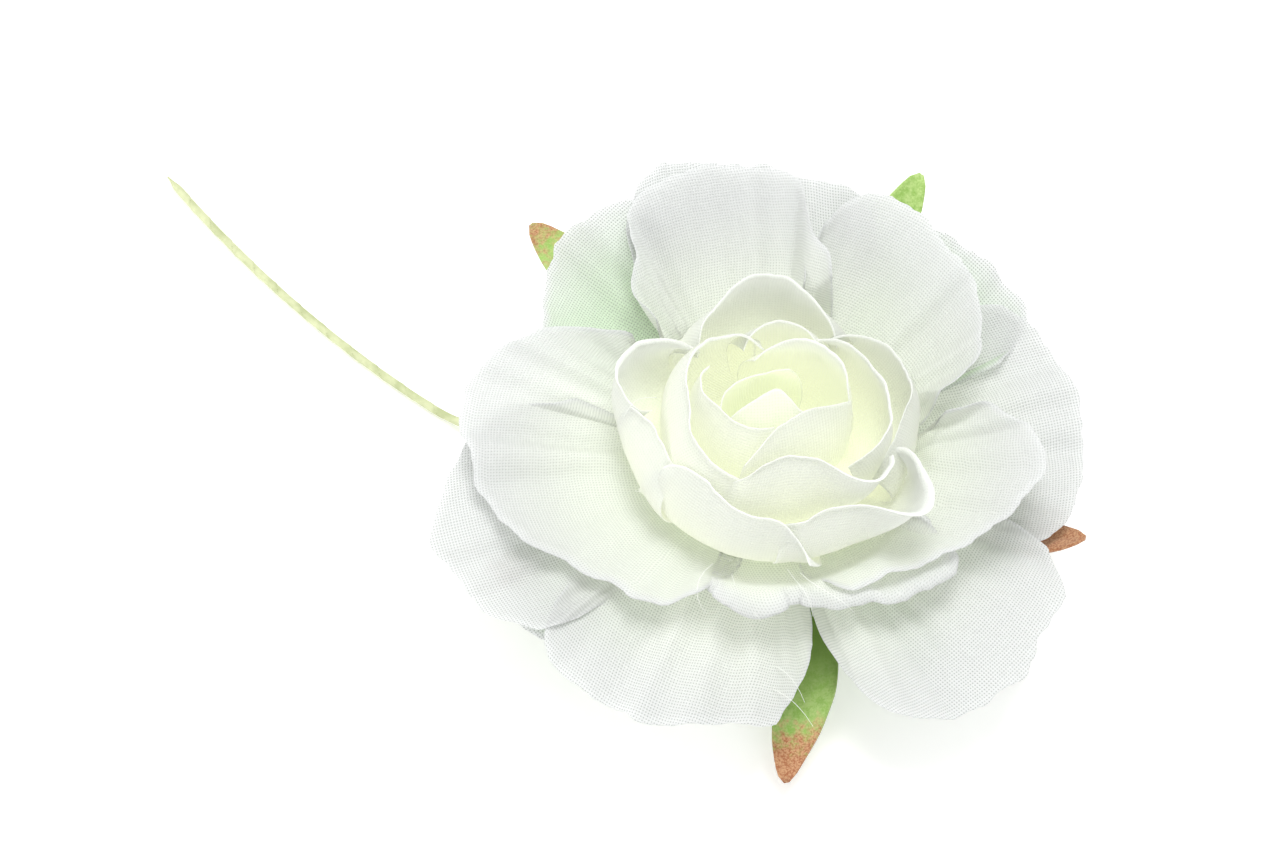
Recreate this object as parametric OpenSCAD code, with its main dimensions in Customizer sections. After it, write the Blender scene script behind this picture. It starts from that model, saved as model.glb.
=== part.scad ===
// Silk rose hair clip: die-cut fabric petal rings on a moulded core with a
// paper-wrapped wire stem, glued by a felt pad onto a sprung alligator clip.
// Millimetres, +Z up. The origin is on the underside of the lower clip arm,
// straight below the axis of the bloom. +X runs along the clip to its handles.

/* [Clip] */
// Width of both clip arms
clip_w = 9; // [8:0.5:10]
// Thickness of the clip's steel strip
strip_t = 0.8; // [0.6:0.1:0.9]
// Clear height between the arms behind the pivot
arm_gap = 6.6; // [6.2:0.1:7]
// Distance from the bloom's axis to the ends of the handles
handle_x = 22; // [20:1:24]
// Distance from the bloom's axis to the tip of the jaw
jaw_x = 24; // [22:1:26]
// Pivot's distance from the bloom's axis, towards the handles
pivot_x = 6; // [5:0.5:7]
// Height of the pivot above the surface that the clip lies on
pivot_z = 4.2; // [4:0.1:4.4]
// Radius of the pivot pin
pin_r = 0.75; // [0.7:0.05:0.8]
// Running clearance between the pin and the lower arm's ears
run_gap = 0.05; // [0.03:0.01:0.08]
// Radius of the spring's wire
spring_wire_r = 0.3; // [0.25:0.05:0.3]

/* [Felt and glue] */
// Radius of the felt backing disc
felt_r = 17; // [15:1:19]
// Thickness of the felt
felt_t = 1.4; // [1.2:0.1:1.6]
// Radius of the hot-melt bead between the felt and the calyx
bead_r = 7; // [6:0.5:8]

/* [Stem] */
// Radius of the steel wire in the stem
wire_r = 0.45; // [0.4:0.05:0.45]
// Outer radius of the paper wrapping
wrap_r = 0.65; // [0.65:0.05:0.7]
// Radius of the bend under the calyx
bend_r = 2; // [2:0.1:2.2]

/* [Bloom] */
// Thickness of the stiffened fabric
cloth_t = 0.35; // [0.3:0.05:0.35]
// Height of the calyx collar
calyx_h = 2.5; // [2.3:0.1:2.6]
// Radius of the hole punched in the middle of each petal ring
hub_r = 1.2; // [1.15:0.05:1.25]
// Height of the outer petals' rims over the hub, where the ring lies level
rim_rise = 0.7; // [0.5:0.1:0.9]
// Extra height of the rims at the back, and drop at the front
lean = 5; // [4:0.5:5]

/* [Sepals] */
// Greatest width of a sepal
sepal_w = 8.5; // [7:0.5:9]
// Thickness of the flocked paper
sepal_t = 0.5; // [0.4:0.1:0.5]

/* [Hidden] */

$fn = 48;
tiny = 0.01;
seat_gap = 0.02;

// Clip levels, from the table upwards
arm_under = strip_t + arm_gap;
arm_top = arm_under + strip_t;
felt_top = arm_top + felt_t;
taper_x = -12;
tip_half = 3.6;
ear_t = strip_t;
ear_gap = 0.2;
ear_r = 2.2;
upper_ear_y = clip_w / 2 - ear_t;
lower_ear_y = upper_ear_y - ear_gap - ear_t;
head_t = 0.5;
head_r = 1.3;
coil_in_r = 1.15;
coil_out_r = coil_in_r + 2 * spring_wire_r;
coil_mid_r = coil_in_r + spring_wire_r;
coil_half = lower_ear_y - 0.3;
leg_y = coil_half - spring_wire_r;
leg_end_x = 10;
touch_gap = 0.1;

// Bloom levels
stem_z = felt_top + wrap_r + touch_gap / 2;
bend_z = stem_z + bend_r;
collar_z = bend_z + 0.05;
collar_top = collar_z + calyx_h;
collar_low_r = 3.6;
collar_top_r = 4.5;
sepal_z = collar_top;
hub_z = sepal_z + sepal_t + 0.25;
ring_pitch = cloth_t + 0.05;
rim_ref = 40;
core_neck_r = 1.1;
bead_slack = 0.35;

// Plan of the stem: a curve from the bend out to the far tip
stem_plan = [[-bend_r, 0], [-30, 0], [-63, 28], [-85, 56]];
stem_low_z = wrap_r + seat_gap;
stem_drop_from = felt_r + 1;
stem_drop_to = 50;

// Petals of the three outer rings: [direction, reach]
bottom_petals = [[140, 39], [50, 43], [-14, 41], [-58, 37], [215, 38]];
lower_petals = [[100, 44], [14, 43], [-50, 44], [-117, 40], [194, 45]];
outer_petals = [[180, 39], [99, 41], [48, 38], [-12, 36], [-80, 29]];
ring_n = 48;
ring_steps = 6;

// Sepals: [direction, length, rise of the tip over its root]
sepal_arms = [[-87, 41, -10], [-14, 44, -2.8], [62, 49, 3.6], [131, 49, 3.6], [205, 40, -3]];
sepal_disc_r = 6;
sepal_root = 4.6;

// ---- helpers ----
function unit(v) = v / norm(v);
function bez3(p, t) = p[0] * (1 - t) * (1 - t) + p[1] * 2 * t * (1 - t) + p[2] * t * t;
function bez3_dir(p, t) = unit((p[1] - p[0]) * (1 - t) + (p[2] - p[1]) * t);
function bez4(p, t) = p[0] * pow(1 - t, 3) + p[1] * 3 * t * pow(1 - t, 2)
                    + p[2] * 3 * t * t * (1 - t) + p[3] * pow(t, 3);
function ease(x) = let (c = max(0, min(1, x))) c * c * (3 - 2 * c);
function turn_between(a, b) = let (d = ((a - b) % 360 + 540) % 360 - 180) abs(d);

// A ring of points round the route at one of its stations
function ring_at(route, i, r, sides) =
    let (last = len(route) - 1,
         along = unit(route[min(i + 1, last)] - route[max(i - 1, 0)]),
         side = unit(cross(along, [0, 1, 0])),
         up = cross(side, along))
    [for (k = [0:sides - 1]) route[i] + r * (side * cos(360 * k / sides) + up * sin(360 * k / sides))];

module sweep(route, r, sides = 10) {
    rings = len(route);
    points = [for (i = [0:rings - 1]) each ring_at(route, i, r, sides)];
    walls = [for (i = [0:rings - 2]) for (k = [0:sides - 1])
        let (a = i * sides + k, b = i * sides + (k + 1) % sides)
        each [[a, b, b + sides], [a, b + sides, a + sides]]];
    cap_a = [for (k = [sides - 1:-1:0]) k];
    cap_b = [for (k = [0:sides - 1]) (rings - 1) * sides + k];
    polyhedron(points, concat(walls, [cap_a], [cap_b]), convexity = 6);
}

module sweep_tube(route, r_out, r_in, sides = 10) {
    rings = len(route);
    shell = rings * sides;
    points = concat([for (i = [0:rings - 1]) each ring_at(route, i, r_out, sides)],
                    [for (i = [0:rings - 1]) each ring_at(route, i, r_in, sides)]);
    outer = [for (i = [0:rings - 2]) for (k = [0:sides - 1])
        let (a = i * sides + k, b = i * sides + (k + 1) % sides)
        each [[a, b, b + sides], [a, b + sides, a + sides]]];
    inner = [for (f = outer) [f[2] + shell, f[1] + shell, f[0] + shell]];
    ends = [for (k = [0:sides - 1])
        let (n = (k + 1) % sides, e = (rings - 1) * sides)
        each [[k, k + shell, n + shell], [k, n + shell, n],
              [e + k, e + n, e + n + shell], [e + k, e + n + shell, e + k + shell]]];
    polyhedron(points, concat(outer, inner, ends), convexity = 6);
}

// Stem route: down through the collar, round the bend and out to the tip
function stem_height(p) =
    stem_low_z + (stem_z - stem_low_z) * (1 - ease((norm(p) - stem_drop_from) / (stem_drop_to - stem_drop_from)));
function stem_upright(top_z) = [[0, 0, top_z], [0, 0, bend_z + 1]];
function stem_bend() = [for (a = [0:15:90]) [bend_r * (cos(a) - 1), 0, bend_z - bend_r * sin(a)]];
function stem_run() = [for (i = [1:28]) let (p = bez4(stem_plan, i / 28)) [p[0], p[1], stem_height(p)]];
function stem_route(top_z) = concat(stem_upright(top_z), stem_bend(), stem_run());

// ---- fabric ----
// How far a ring of petals reaches in one direction
function reach(petals, a) =
    max([for (p = petals) p[1] * cos(min(80, 0.9 * turn_between(a, p[0])))]);

// Underside of an outer ring: level at the hub, leaning up at the back
function cloth_z(level, lift, r, a) =
    hub_z + level * ring_pitch + (rim_rise + lift + lean * sin(a)) * pow(r / rim_ref, 1.6);

module outer_ring(petals, level, lift) {
    per = ring_steps + 1;
    half = ring_n * per;
    grid = [for (i = [0:ring_n - 1]) for (j = [0:ring_steps])
        let (a = 360 * i / ring_n, r = hub_r + (reach(petals, a) - hub_r) * j / ring_steps)
        [r * cos(a), r * sin(a), cloth_z(level, lift, r, a)]];
    points = concat(grid, [for (p = grid) p + [0, 0, cloth_t]]);
    under = [for (i = [0:ring_n - 1]) for (j = [0:ring_steps - 1])
        let (a = i * per + j, b = ((i + 1) % ring_n) * per + j)
        each [[a, a + 1, b + 1], [a, b + 1, b]]];
    over = [for (f = under) [f[2] + half, f[1] + half, f[0] + half]];
    edges = [for (i = [0:ring_n - 1])
        let (a = i * per, b = ((i + 1) % ring_n) * per, c = a + ring_steps, d = b + ring_steps)
        each [[a, b, b + half], [a, b + half, a + half],
              [c, d + half, d], [c, c + half, d + half]]];
    polyhedron(points, concat(under, over, edges), convexity = 10);
}

// A cup of petals: a thin revolved wall, its rim notched between the petals
function cup_profile(p, n) =
    let (ts = [for (i = [0:n]) i / n],
         wall = [for (t = ts) bez3(p, t)],
         inside = [for (t = ts) let (d = bez3_dir(p, t)) bez3(p, t) + cloth_t * [-d[1], d[0]]])
    concat(wall, [for (i = [n:-1:0]) inside[i]]);

module cup(p, notches, notch_r, steps = 8) {
    difference() {
        rotate_extrude() polygon(cup_profile(p, steps));
        for (a = notches)
            rotate([0, 0, a])
                translate([0, 0, p[2][1] + notch_r * 0.35])
                    rotate([0, 90, 0]) cylinder(r = notch_r, h = p[2][0] + 5);
    }
}

// One leaf: two arcs meeting in a point at each end
module leaf(length, width) {
    half = length / 2;
    r = (half * half + width * width / 4) / width;
    intersection() {
        translate([half, r - width / 2]) circle(r, $fn = 96);
        translate([half, width / 2 - r]) circle(r, $fn = 96);
    }
}

// ---- clip ----
module ear(y, z_from, z_to) {
    rotate([90, 0, 0])
        translate([0, 0, -y - ear_t])
            linear_extrude(ear_t) {
                translate([pivot_x, pivot_z]) circle(ear_r);
                translate([pivot_x - ear_r, min(z_from, z_to)]) square([2 * ear_r, abs(z_to - z_from)]);
            }
}

module both_sides() {
    children();
    mirror([0, 1, 0]) children();
}

module across(r, length) {
    translate([pivot_x, length / 2, pivot_z]) rotate([90, 0, 0]) cylinder(r = r, h = length);
}

// Plan of an arm: rounded handle, sides tapering to the jaw's tip
module arm_plan() {
    half = clip_w / 2;
    translate([handle_x - half, 0]) circle(half);
    polygon([[handle_x - half, -half], [handle_x - half, half], [taper_x, half],
             [-jaw_x, tip_half], [-jaw_x, -tip_half], [taper_x, -half]]);
}

// Fine teeth across the tip of a jaw
module teeth(x, z, point) {
    count = 5;
    pitch = 2 * tip_half / count;
    for (i = [0:count - 1])
        translate([x, -tip_half + i * pitch, z])
            rotate([90, 0, 90])
                linear_extrude(strip_t) polygon([[0, 0], [pitch, 0], [pitch / 2, point]]);
}

module clip_lower_arm() {
    lip = 1;
    color("silver")
        difference() {
            union() {
                linear_extrude(strip_t) arm_plan();
                teeth(-jaw_x, strip_t, lip);
                both_sides() ear(lower_ear_y, strip_t - tiny, pivot_z);
            }
            across(pin_r + run_gap, clip_w);
        }
}

module clip_upper_arm() {
    tip_x = -jaw_x + strip_t + 0.3;
    tip_z = strip_t + 0.25;
    slope = strip_t * 1.15;
    color("silver")
        difference() {
            union() {
                intersection() {
                    rotate([90, 0, 0])
                        translate([0, 0, -clip_w / 2])
                            linear_extrude(clip_w)
                                polygon([[handle_x, arm_under], [handle_x, arm_top], [taper_x, arm_top],
                                         [tip_x, tip_z + slope], [tip_x, tip_z], [taper_x + 0.4, arm_under]]);
                    linear_extrude(arm_top + 1) arm_plan();
                }
                both_sides() ear(upper_ear_y, pivot_z, arm_under + tiny);
            }
            across(pin_r, clip_w + 2);
        }
}

module pivot_pin() {
    color("gray") {
        across(pin_r, clip_w);
        both_sides()
            translate([pivot_x, -clip_w / 2, pivot_z]) rotate([90, 0, 0]) cylinder(r = head_r, h = head_t);
    }
}

module torsion_spring() {
    leg = leg_end_x;
    color("dimgray") {
        difference() {
            across(coil_out_r, 2 * coil_half);
            across(coil_in_r, 2 * coil_half + 1);
        }
        translate([pivot_x, leg_y, pivot_z + coil_mid_r])
            rotate([0, 90 - asin((arm_under - touch_gap - spring_wire_r - pivot_z - coil_mid_r) / leg), 0])
                cylinder(r = spring_wire_r, h = leg);
        translate([pivot_x, -leg_y, pivot_z - coil_mid_r])
            rotate([0, 90 + asin((pivot_z - coil_mid_r - strip_t - touch_gap - spring_wire_r) / leg), 0])
                cylinder(r = spring_wire_r, h = leg);
    }
}

// ---- backing and stem ----
module felt_pad() {
    color("ivory") translate([0, 0, arm_top]) cylinder(r = felt_r, h = felt_t, $fn = 96);
}

// The space that the bent stem takes up inside the bead
module stem_channel(r) {
    translate([0, 0, bend_z]) cylinder(r = r, h = 5);
    translate([0, 0, bend_z]) sphere(r);
    translate([-bend_r, 0, bend_z])
        rotate([90, 0, 0])
            rotate_extrude(angle = -90) translate([bend_r, 0]) circle(r);
    translate([-bead_r - 2, 0, stem_z]) rotate([0, 90, 0]) cylinder(r = r, h = bead_r + 2 - bend_r);
    translate([-bead_r - 2, -r, felt_top - 1]) cube([bead_r + 2, 2 * r, stem_z - felt_top + 1]);
    translate([-bend_r, -r, felt_top - 1]) cube([bend_r, 2 * r, bend_z - felt_top + 1]);
}

module glue_bead() {
    height = collar_z - felt_top;
    color("gainsboro")
        difference() {
            translate([0, 0, felt_top]) cylinder(r1 = bead_r, r2 = bead_r * 0.7, h = height);
            stem_channel(wrap_r + bead_slack);
        }
}

module stem_wire() {
    color("gray") sweep(stem_route(hub_z + 9), wire_r);
}

module stem_wrap() {
    color("beige") sweep_tube(stem_route(collar_top - 0.6), wrap_r, wire_r + seat_gap);
}

module calyx_collar() {
    step_z = collar_top - 0.5;
    color("yellowgreen")
        difference() {
            translate([0, 0, collar_z]) cylinder(r1 = collar_low_r, r2 = collar_top_r, h = calyx_h);
            translate([0, 0, collar_z - 1]) cylinder(r = wrap_r + seat_gap, h = calyx_h + 2);
            translate([0, 0, step_z]) cylinder(r = core_neck_r + seat_gap, h = calyx_h);
        }
}

module sepals() {
    color("yellowgreen")
        difference() {
            union() {
                translate([0, 0, sepal_z]) cylinder(r = sepal_disc_r, h = sepal_t);
                for (s = sepal_arms) {
                    slope = atan(s[2] / (s[1] - sepal_root));
                    rotate([0, 0, s[0]])
                        translate([sepal_root, 0, sepal_z])
                            rotate([0, -slope, 0])
                                linear_extrude(sepal_t) leaf((s[1] - sepal_root) / cos(slope), sepal_w);
                }
            }
            translate([0, 0, sepal_z - 1]) cylinder(r = hub_r, h = sepal_t + 2);
        }
}

// ---- petals, from the lowest ring to the bud ----
module petals_bottom() { color("whitesmoke") outer_ring(bottom_petals, 0, 0); }
module petals_lower() { color("white") outer_ring(lower_petals, 1, 2.5); }
module petals_outer() { color("mintcream") outer_ring(outer_petals, 2, 6); }

function cup_base(level) = hub_z + level * ring_pitch;

module petals_middle() {
    z = cup_base(3.6);
    color("ivory") cup([[hub_r, z], [14.5, z - 0.2], [21.5, z + 11.6]], [-68, 0, 45, 125, 210], 3.2);
}

module petals_inner() {
    z = cup_base(4.8);
    color("lightyellow") cup([[hub_r, z], [11.5, z], [12.3, z + 14.2]], [-105, 10, 100, 195], 2.6);
}

module petals_heart() {
    z = cup_base(6.1);
    color("lightyellow") cup([[hub_r, z], [8, z], [7.8, z + 14.6]], [-60, 40, 130, 230], 2);
}

module bud_wrap() {
    z = cup_base(7.4);
    color("lemonchiffon")
        rotate_extrude() polygon(cup_profile([[hub_r, z], [7.6, z + 1], [1.4, z + 15.6]], 10));
}

module bud_core() {
    z = cup_base(8.8);
    core_r = 3;
    core_h = 12;
    color("khaki")
        difference() {
            union() {
                translate([0, 0, z + core_r]) cylinder(r1 = core_r, r2 = 0.8, h = core_h - core_r);
                translate([0, 0, z]) cylinder(r1 = 1.6, r2 = core_r, h = core_r);
                translate([0, 0, collar_top - 0.5 + seat_gap]) cylinder(r = core_neck_r, h = z - collar_top + 1);
            }
            translate([0, 0, collar_z]) cylinder(r = wire_r + seat_gap, h = hub_z + 9.1 - collar_z);
        }
}

clip_lower_arm();
clip_upper_arm();
pivot_pin();
torsion_spring();
felt_pad();
glue_bead();
stem_wire();
stem_wrap();
calyx_collar();
sepals();
petals_bottom();
petals_lower();
petals_outer();
petals_middle();
petals_inner();
petals_heart();
bud_wrap();
bud_core();
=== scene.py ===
"""Silk rose hair clip: petals, sepals, wrapped stem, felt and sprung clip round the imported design."""
from __future__ import annotations

import logging
import math
import random
from dataclasses import dataclass, field, replace
from enum import Enum
from typing import Iterable, Sequence, Union

import bmesh
import bpy
import numpy as np
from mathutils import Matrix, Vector, noise


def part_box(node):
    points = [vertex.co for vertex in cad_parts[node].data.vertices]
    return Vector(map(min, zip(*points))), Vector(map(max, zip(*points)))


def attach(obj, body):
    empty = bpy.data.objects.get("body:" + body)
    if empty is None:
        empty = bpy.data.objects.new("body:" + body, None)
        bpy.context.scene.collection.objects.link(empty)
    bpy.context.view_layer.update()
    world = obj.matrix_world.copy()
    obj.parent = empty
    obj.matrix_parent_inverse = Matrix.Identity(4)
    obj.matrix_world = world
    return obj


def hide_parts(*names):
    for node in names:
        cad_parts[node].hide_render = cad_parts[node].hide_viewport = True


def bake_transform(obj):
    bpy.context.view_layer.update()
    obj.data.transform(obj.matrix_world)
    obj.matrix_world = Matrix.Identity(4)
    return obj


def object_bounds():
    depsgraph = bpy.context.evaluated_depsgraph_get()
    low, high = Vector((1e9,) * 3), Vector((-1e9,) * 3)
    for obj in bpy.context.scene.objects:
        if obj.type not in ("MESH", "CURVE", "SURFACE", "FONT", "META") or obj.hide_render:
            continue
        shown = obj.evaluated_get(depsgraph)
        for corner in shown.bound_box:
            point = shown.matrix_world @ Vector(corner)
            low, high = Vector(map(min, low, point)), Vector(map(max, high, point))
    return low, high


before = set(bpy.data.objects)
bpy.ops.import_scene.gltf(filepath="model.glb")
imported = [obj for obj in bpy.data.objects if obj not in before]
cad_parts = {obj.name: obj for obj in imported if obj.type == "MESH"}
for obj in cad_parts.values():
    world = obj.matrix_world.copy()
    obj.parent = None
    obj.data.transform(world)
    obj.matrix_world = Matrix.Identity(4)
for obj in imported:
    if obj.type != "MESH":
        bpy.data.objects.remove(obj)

CAD_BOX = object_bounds()
MM = 0.001
LOG = logging.getLogger("rose_clip")

Triple = tuple[float, float, float]
Colour = tuple[float, float, float, float]


# ---------------------------------------------------------------- geometry helpers
def unit(v: np.ndarray) -> np.ndarray:
    """Scale vectors along the last axis to length one."""
    return v / np.maximum(np.linalg.norm(v, axis=-1, keepdims=True), 1e-12)


def ease(x: np.ndarray | float) -> np.ndarray | float:
    """Smooth step from 0 to 1 of a clipped value."""
    c = np.clip(x, 0.0, 1.0)
    return c * c * (3.0 - 2.0 * c)


def smooth_curve(points: Sequence[Sequence[float]], count: int) -> np.ndarray:
    """Run a centripetal spline through points, at even steps along its length.

    Args:
        points: the points that the curve passes through, in any number of dimensions.
        count: how many samples to return.

    Returns:
        An array of count samples.
    """
    p = np.array(points, float)
    p = np.vstack([2 * p[0] - p[1], p, 2 * p[-1] - p[-2]])
    dense = []
    for i in range(1, len(p) - 2):
        a, b, c, d = p[i - 1:i + 3]
        for t in np.linspace(0, 1, 24, endpoint=False):
            dense.append(0.5 * (2 * b + (c - a) * t + (2 * a - 5 * b + 4 * c - d) * t * t
                                + (3 * b - a - 3 * c + d) * t ** 3))
    dense.append(p[-2])
    curve = np.array(dense)
    run = run_lengths(curve)
    at = np.linspace(0, run[-1], count)
    return np.stack([np.interp(at, run, curve[:, k]) for k in range(curve.shape[1])], axis=1)


def run_lengths(line: np.ndarray) -> np.ndarray:
    """Distance along a line of points to each of them, starting at 0."""
    return np.concatenate([[0], np.cumsum(np.linalg.norm(np.diff(line, axis=0), axis=1))])


def bezier(points: Sequence[np.ndarray], t: np.ndarray) -> np.ndarray:
    """Evaluate cubic Bezier curves at t, which has an axis of length one for x, y and z."""
    a, b, c, d = points
    return a * (1 - t) ** 3 + 3 * b * t * (1 - t) ** 2 + 3 * c * t * t * (1 - t) + d * t ** 3


def wobble(points: np.ndarray, scale: float, seed: float) -> np.ndarray:
    """Smooth noise, about -1 to 1, at each point of a grid in millimetres.

    Args:
        points: the grid.
        scale: the noise's length in millimetres.
        seed: picks the pattern.

    Returns:
        One value for each point.
    """
    flat = points.reshape(-1, 3)
    shift = Vector((seed * 17.3, seed * 5.1, seed * 9.7))
    values = [noise.noise(Vector(p) / scale + shift) for p in flat]
    return np.array(values).reshape(points.shape[:-1])


@dataclass
class Sheet:
    """A grid of points in millimetres with its flat coordinates and masks."""

    points: np.ndarray
    flat: np.ndarray
    masks: dict[str, np.ndarray] = field(default_factory=dict)


def new_piece(name: str, vertices: Sequence, faces: Sequence,
              material: bpy.types.Material) -> bpy.types.Object:
    """Make a smooth shaded object with one finish.

    Args:
        name: the object's name.
        vertices: the mesh's vertices in metres.
        faces: the vertex numbers of each face.
        material: the finish.

    Returns:
        The new object.
    """
    mesh = bpy.data.meshes.new(name)
    mesh.from_pydata(vertices, [], faces)
    mesh.polygons.foreach_set("use_smooth", [True] * len(mesh.polygons))
    mesh.materials.append(material)
    piece = bpy.data.objects.new(name, mesh)
    bpy.context.collection.objects.link(piece)
    return piece


def mesh_from_sheets(name: str, sheets: Iterable[Sheet], thickness: float,
                     material: bpy.types.Material) -> bpy.types.Object:
    """Join grids into one object of even thickness.

    Args:
        name: the new object's name.
        sheets: the grids, each with the same masks.
        thickness: the cloth's thickness in millimetres, or 0 for an open surface.
        material: the finish.

    Returns:
        The new object, smooth shaded.
    """
    vertices: list = []
    faces: list = []
    flats: list = []
    masks: dict[str, list] = {}
    for sheet in sheets:
        start = len(vertices)
        rows, columns = sheet.points.shape[:2]
        vertices.extend((sheet.points.reshape(-1, 3) * MM).tolist())
        flats.extend(sheet.flat.reshape(-1, 2).tolist())
        for key, values in sheet.masks.items():
            masks.setdefault(key, []).extend(values.reshape(-1).tolist())
        for i in range(rows - 1):
            for j in range(columns - 1):
                a = start + i * columns + j
                b = a + columns
                faces.append((a, b, b + 1, a + 1))
    piece = new_piece(name, vertices, faces, material)
    mesh = piece.data
    uv = mesh.uv_layers.new(name="flat")
    loops = np.zeros(len(mesh.loops), int)
    mesh.loops.foreach_get("vertex_index", loops)
    uv.data.foreach_set("uv", np.array(flats, np.float32)[loops].reshape(-1))
    for key, values in masks.items():
        layer = mesh.attributes.new(key, "FLOAT", "POINT")
        layer.data.foreach_set("value", np.array(values, np.float32))
    if thickness:
        skin = piece.modifiers.new("thickness", "SOLIDIFY")
        skin.thickness = thickness * MM
        skin.offset = 0.0
        apply_modifiers(piece)
    return piece


def apply_modifiers(piece: bpy.types.Object) -> None:
    """Turn a piece's modifiers into plain mesh.

    Args:
        piece: the object to change.
    """
    graph = bpy.context.evaluated_depsgraph_get()
    mesh = bpy.data.meshes.new_from_object(piece.evaluated_get(graph))
    old = piece.data
    piece.modifiers.clear()
    piece.data = mesh
    bpy.data.meshes.remove(old)
    mesh.name = piece.name


def surface_normals(points: np.ndarray) -> np.ndarray:
    """Normals of a grid, by differences along both of its axes.

    Args:
        points: the grid.

    Returns:
        One unit vector for each point.
    """
    across = np.gradient(points, axis=0)
    along = np.gradient(points, axis=1)
    return unit(np.cross(across, along))


def swept_tube(line: np.ndarray, radius: np.ndarray | float, angle: np.ndarray,
               nudge: float = 0.0) -> np.ndarray:
    """Grid of a round tube along a line.

    Args:
        line: the middle line's points.
        radius: the tube's radius, one for all or one for each point of the grid.
        angle: the places round the tube in radians, as one row.
        nudge: a tiny shift that settles the ring's start where the line runs along y.

    Returns:
        The tube's points, by place along the line and angle.
    """
    way = unit(np.gradient(line, axis=0))
    side = unit(np.cross(way, np.array([0.0, 1.0, 0.0])) + nudge)
    up = np.cross(side, way)
    ring = side[:, None, :] * np.cos(angle)[..., None] + up[:, None, :] * np.sin(angle)[..., None]
    return line[:, None, :] + np.asarray(radius)[..., None] * ring


def turned(radius: np.ndarray, height: np.ndarray, angle: np.ndarray) -> np.ndarray:
    """Grid of a body of revolution: angle is a column, radius and height are rows or whole grids."""
    return np.stack([radius * np.cos(angle), radius * np.sin(angle), height + 0 * angle], axis=-1)


# ---------------------------------------------------------------- shader toolkit
class Wire:
    """A shader value that Python arithmetic works on, each step adding a Math node."""

    def __init__(self, graph: "Graph", socket: bpy.types.NodeSocket | None) -> None:
        """Wrap one output socket, or none for a node that ends the tree."""
        self.graph = graph
        self.socket = socket

    def maths(self, operation: str, *others: Union["Wire", float], first: bool = True) -> "Wire":
        """Add a Math node.

        Args:
            operation: the Math node's operation.
            others: its further values.
            first: whether this value comes before the others.

        Returns:
            The node's result.
        """
        values = [self, *others] if first else [*others, self]
        return self.graph.node("ShaderNodeMath", {"operation": operation}, dict(enumerate(values)))

    def __add__(self, other: Union["Wire", float]) -> "Wire":
        """Add."""
        return self.maths("ADD", other)

    __radd__ = __add__

    def __sub__(self, other: Union["Wire", float]) -> "Wire":
        """Subtract."""
        return self.maths("SUBTRACT", other)

    def __rsub__(self, other: float) -> "Wire":
        """Subtract this from a number."""
        return self.maths("SUBTRACT", other, first=False)

    def __mul__(self, other: Union["Wire", float]) -> "Wire":
        """Multiply."""
        return self.maths("MULTIPLY", other)

    __rmul__ = __mul__

    def sine(self) -> "Wire":
        """Sine of the value."""
        return self.maths("SINE")

    def steps(self, low: float, high: float, start: float = 0.0, end: float = 1.0) -> "Wire":
        """Map low to high smoothly onto start to end.

        Args:
            low: the value that gives start.
            high: the value that gives end.
            start: the result at and below low.
            end: the result at and above high.

        Returns:
            The mapped value.
        """
        return self.graph.node("ShaderNodeMapRange", {"interpolation_type": "SMOOTHSTEP"},
                               {"Value": self, "From Min": low, "From Max": high,
                                "To Min": start, "To Max": end})


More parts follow.
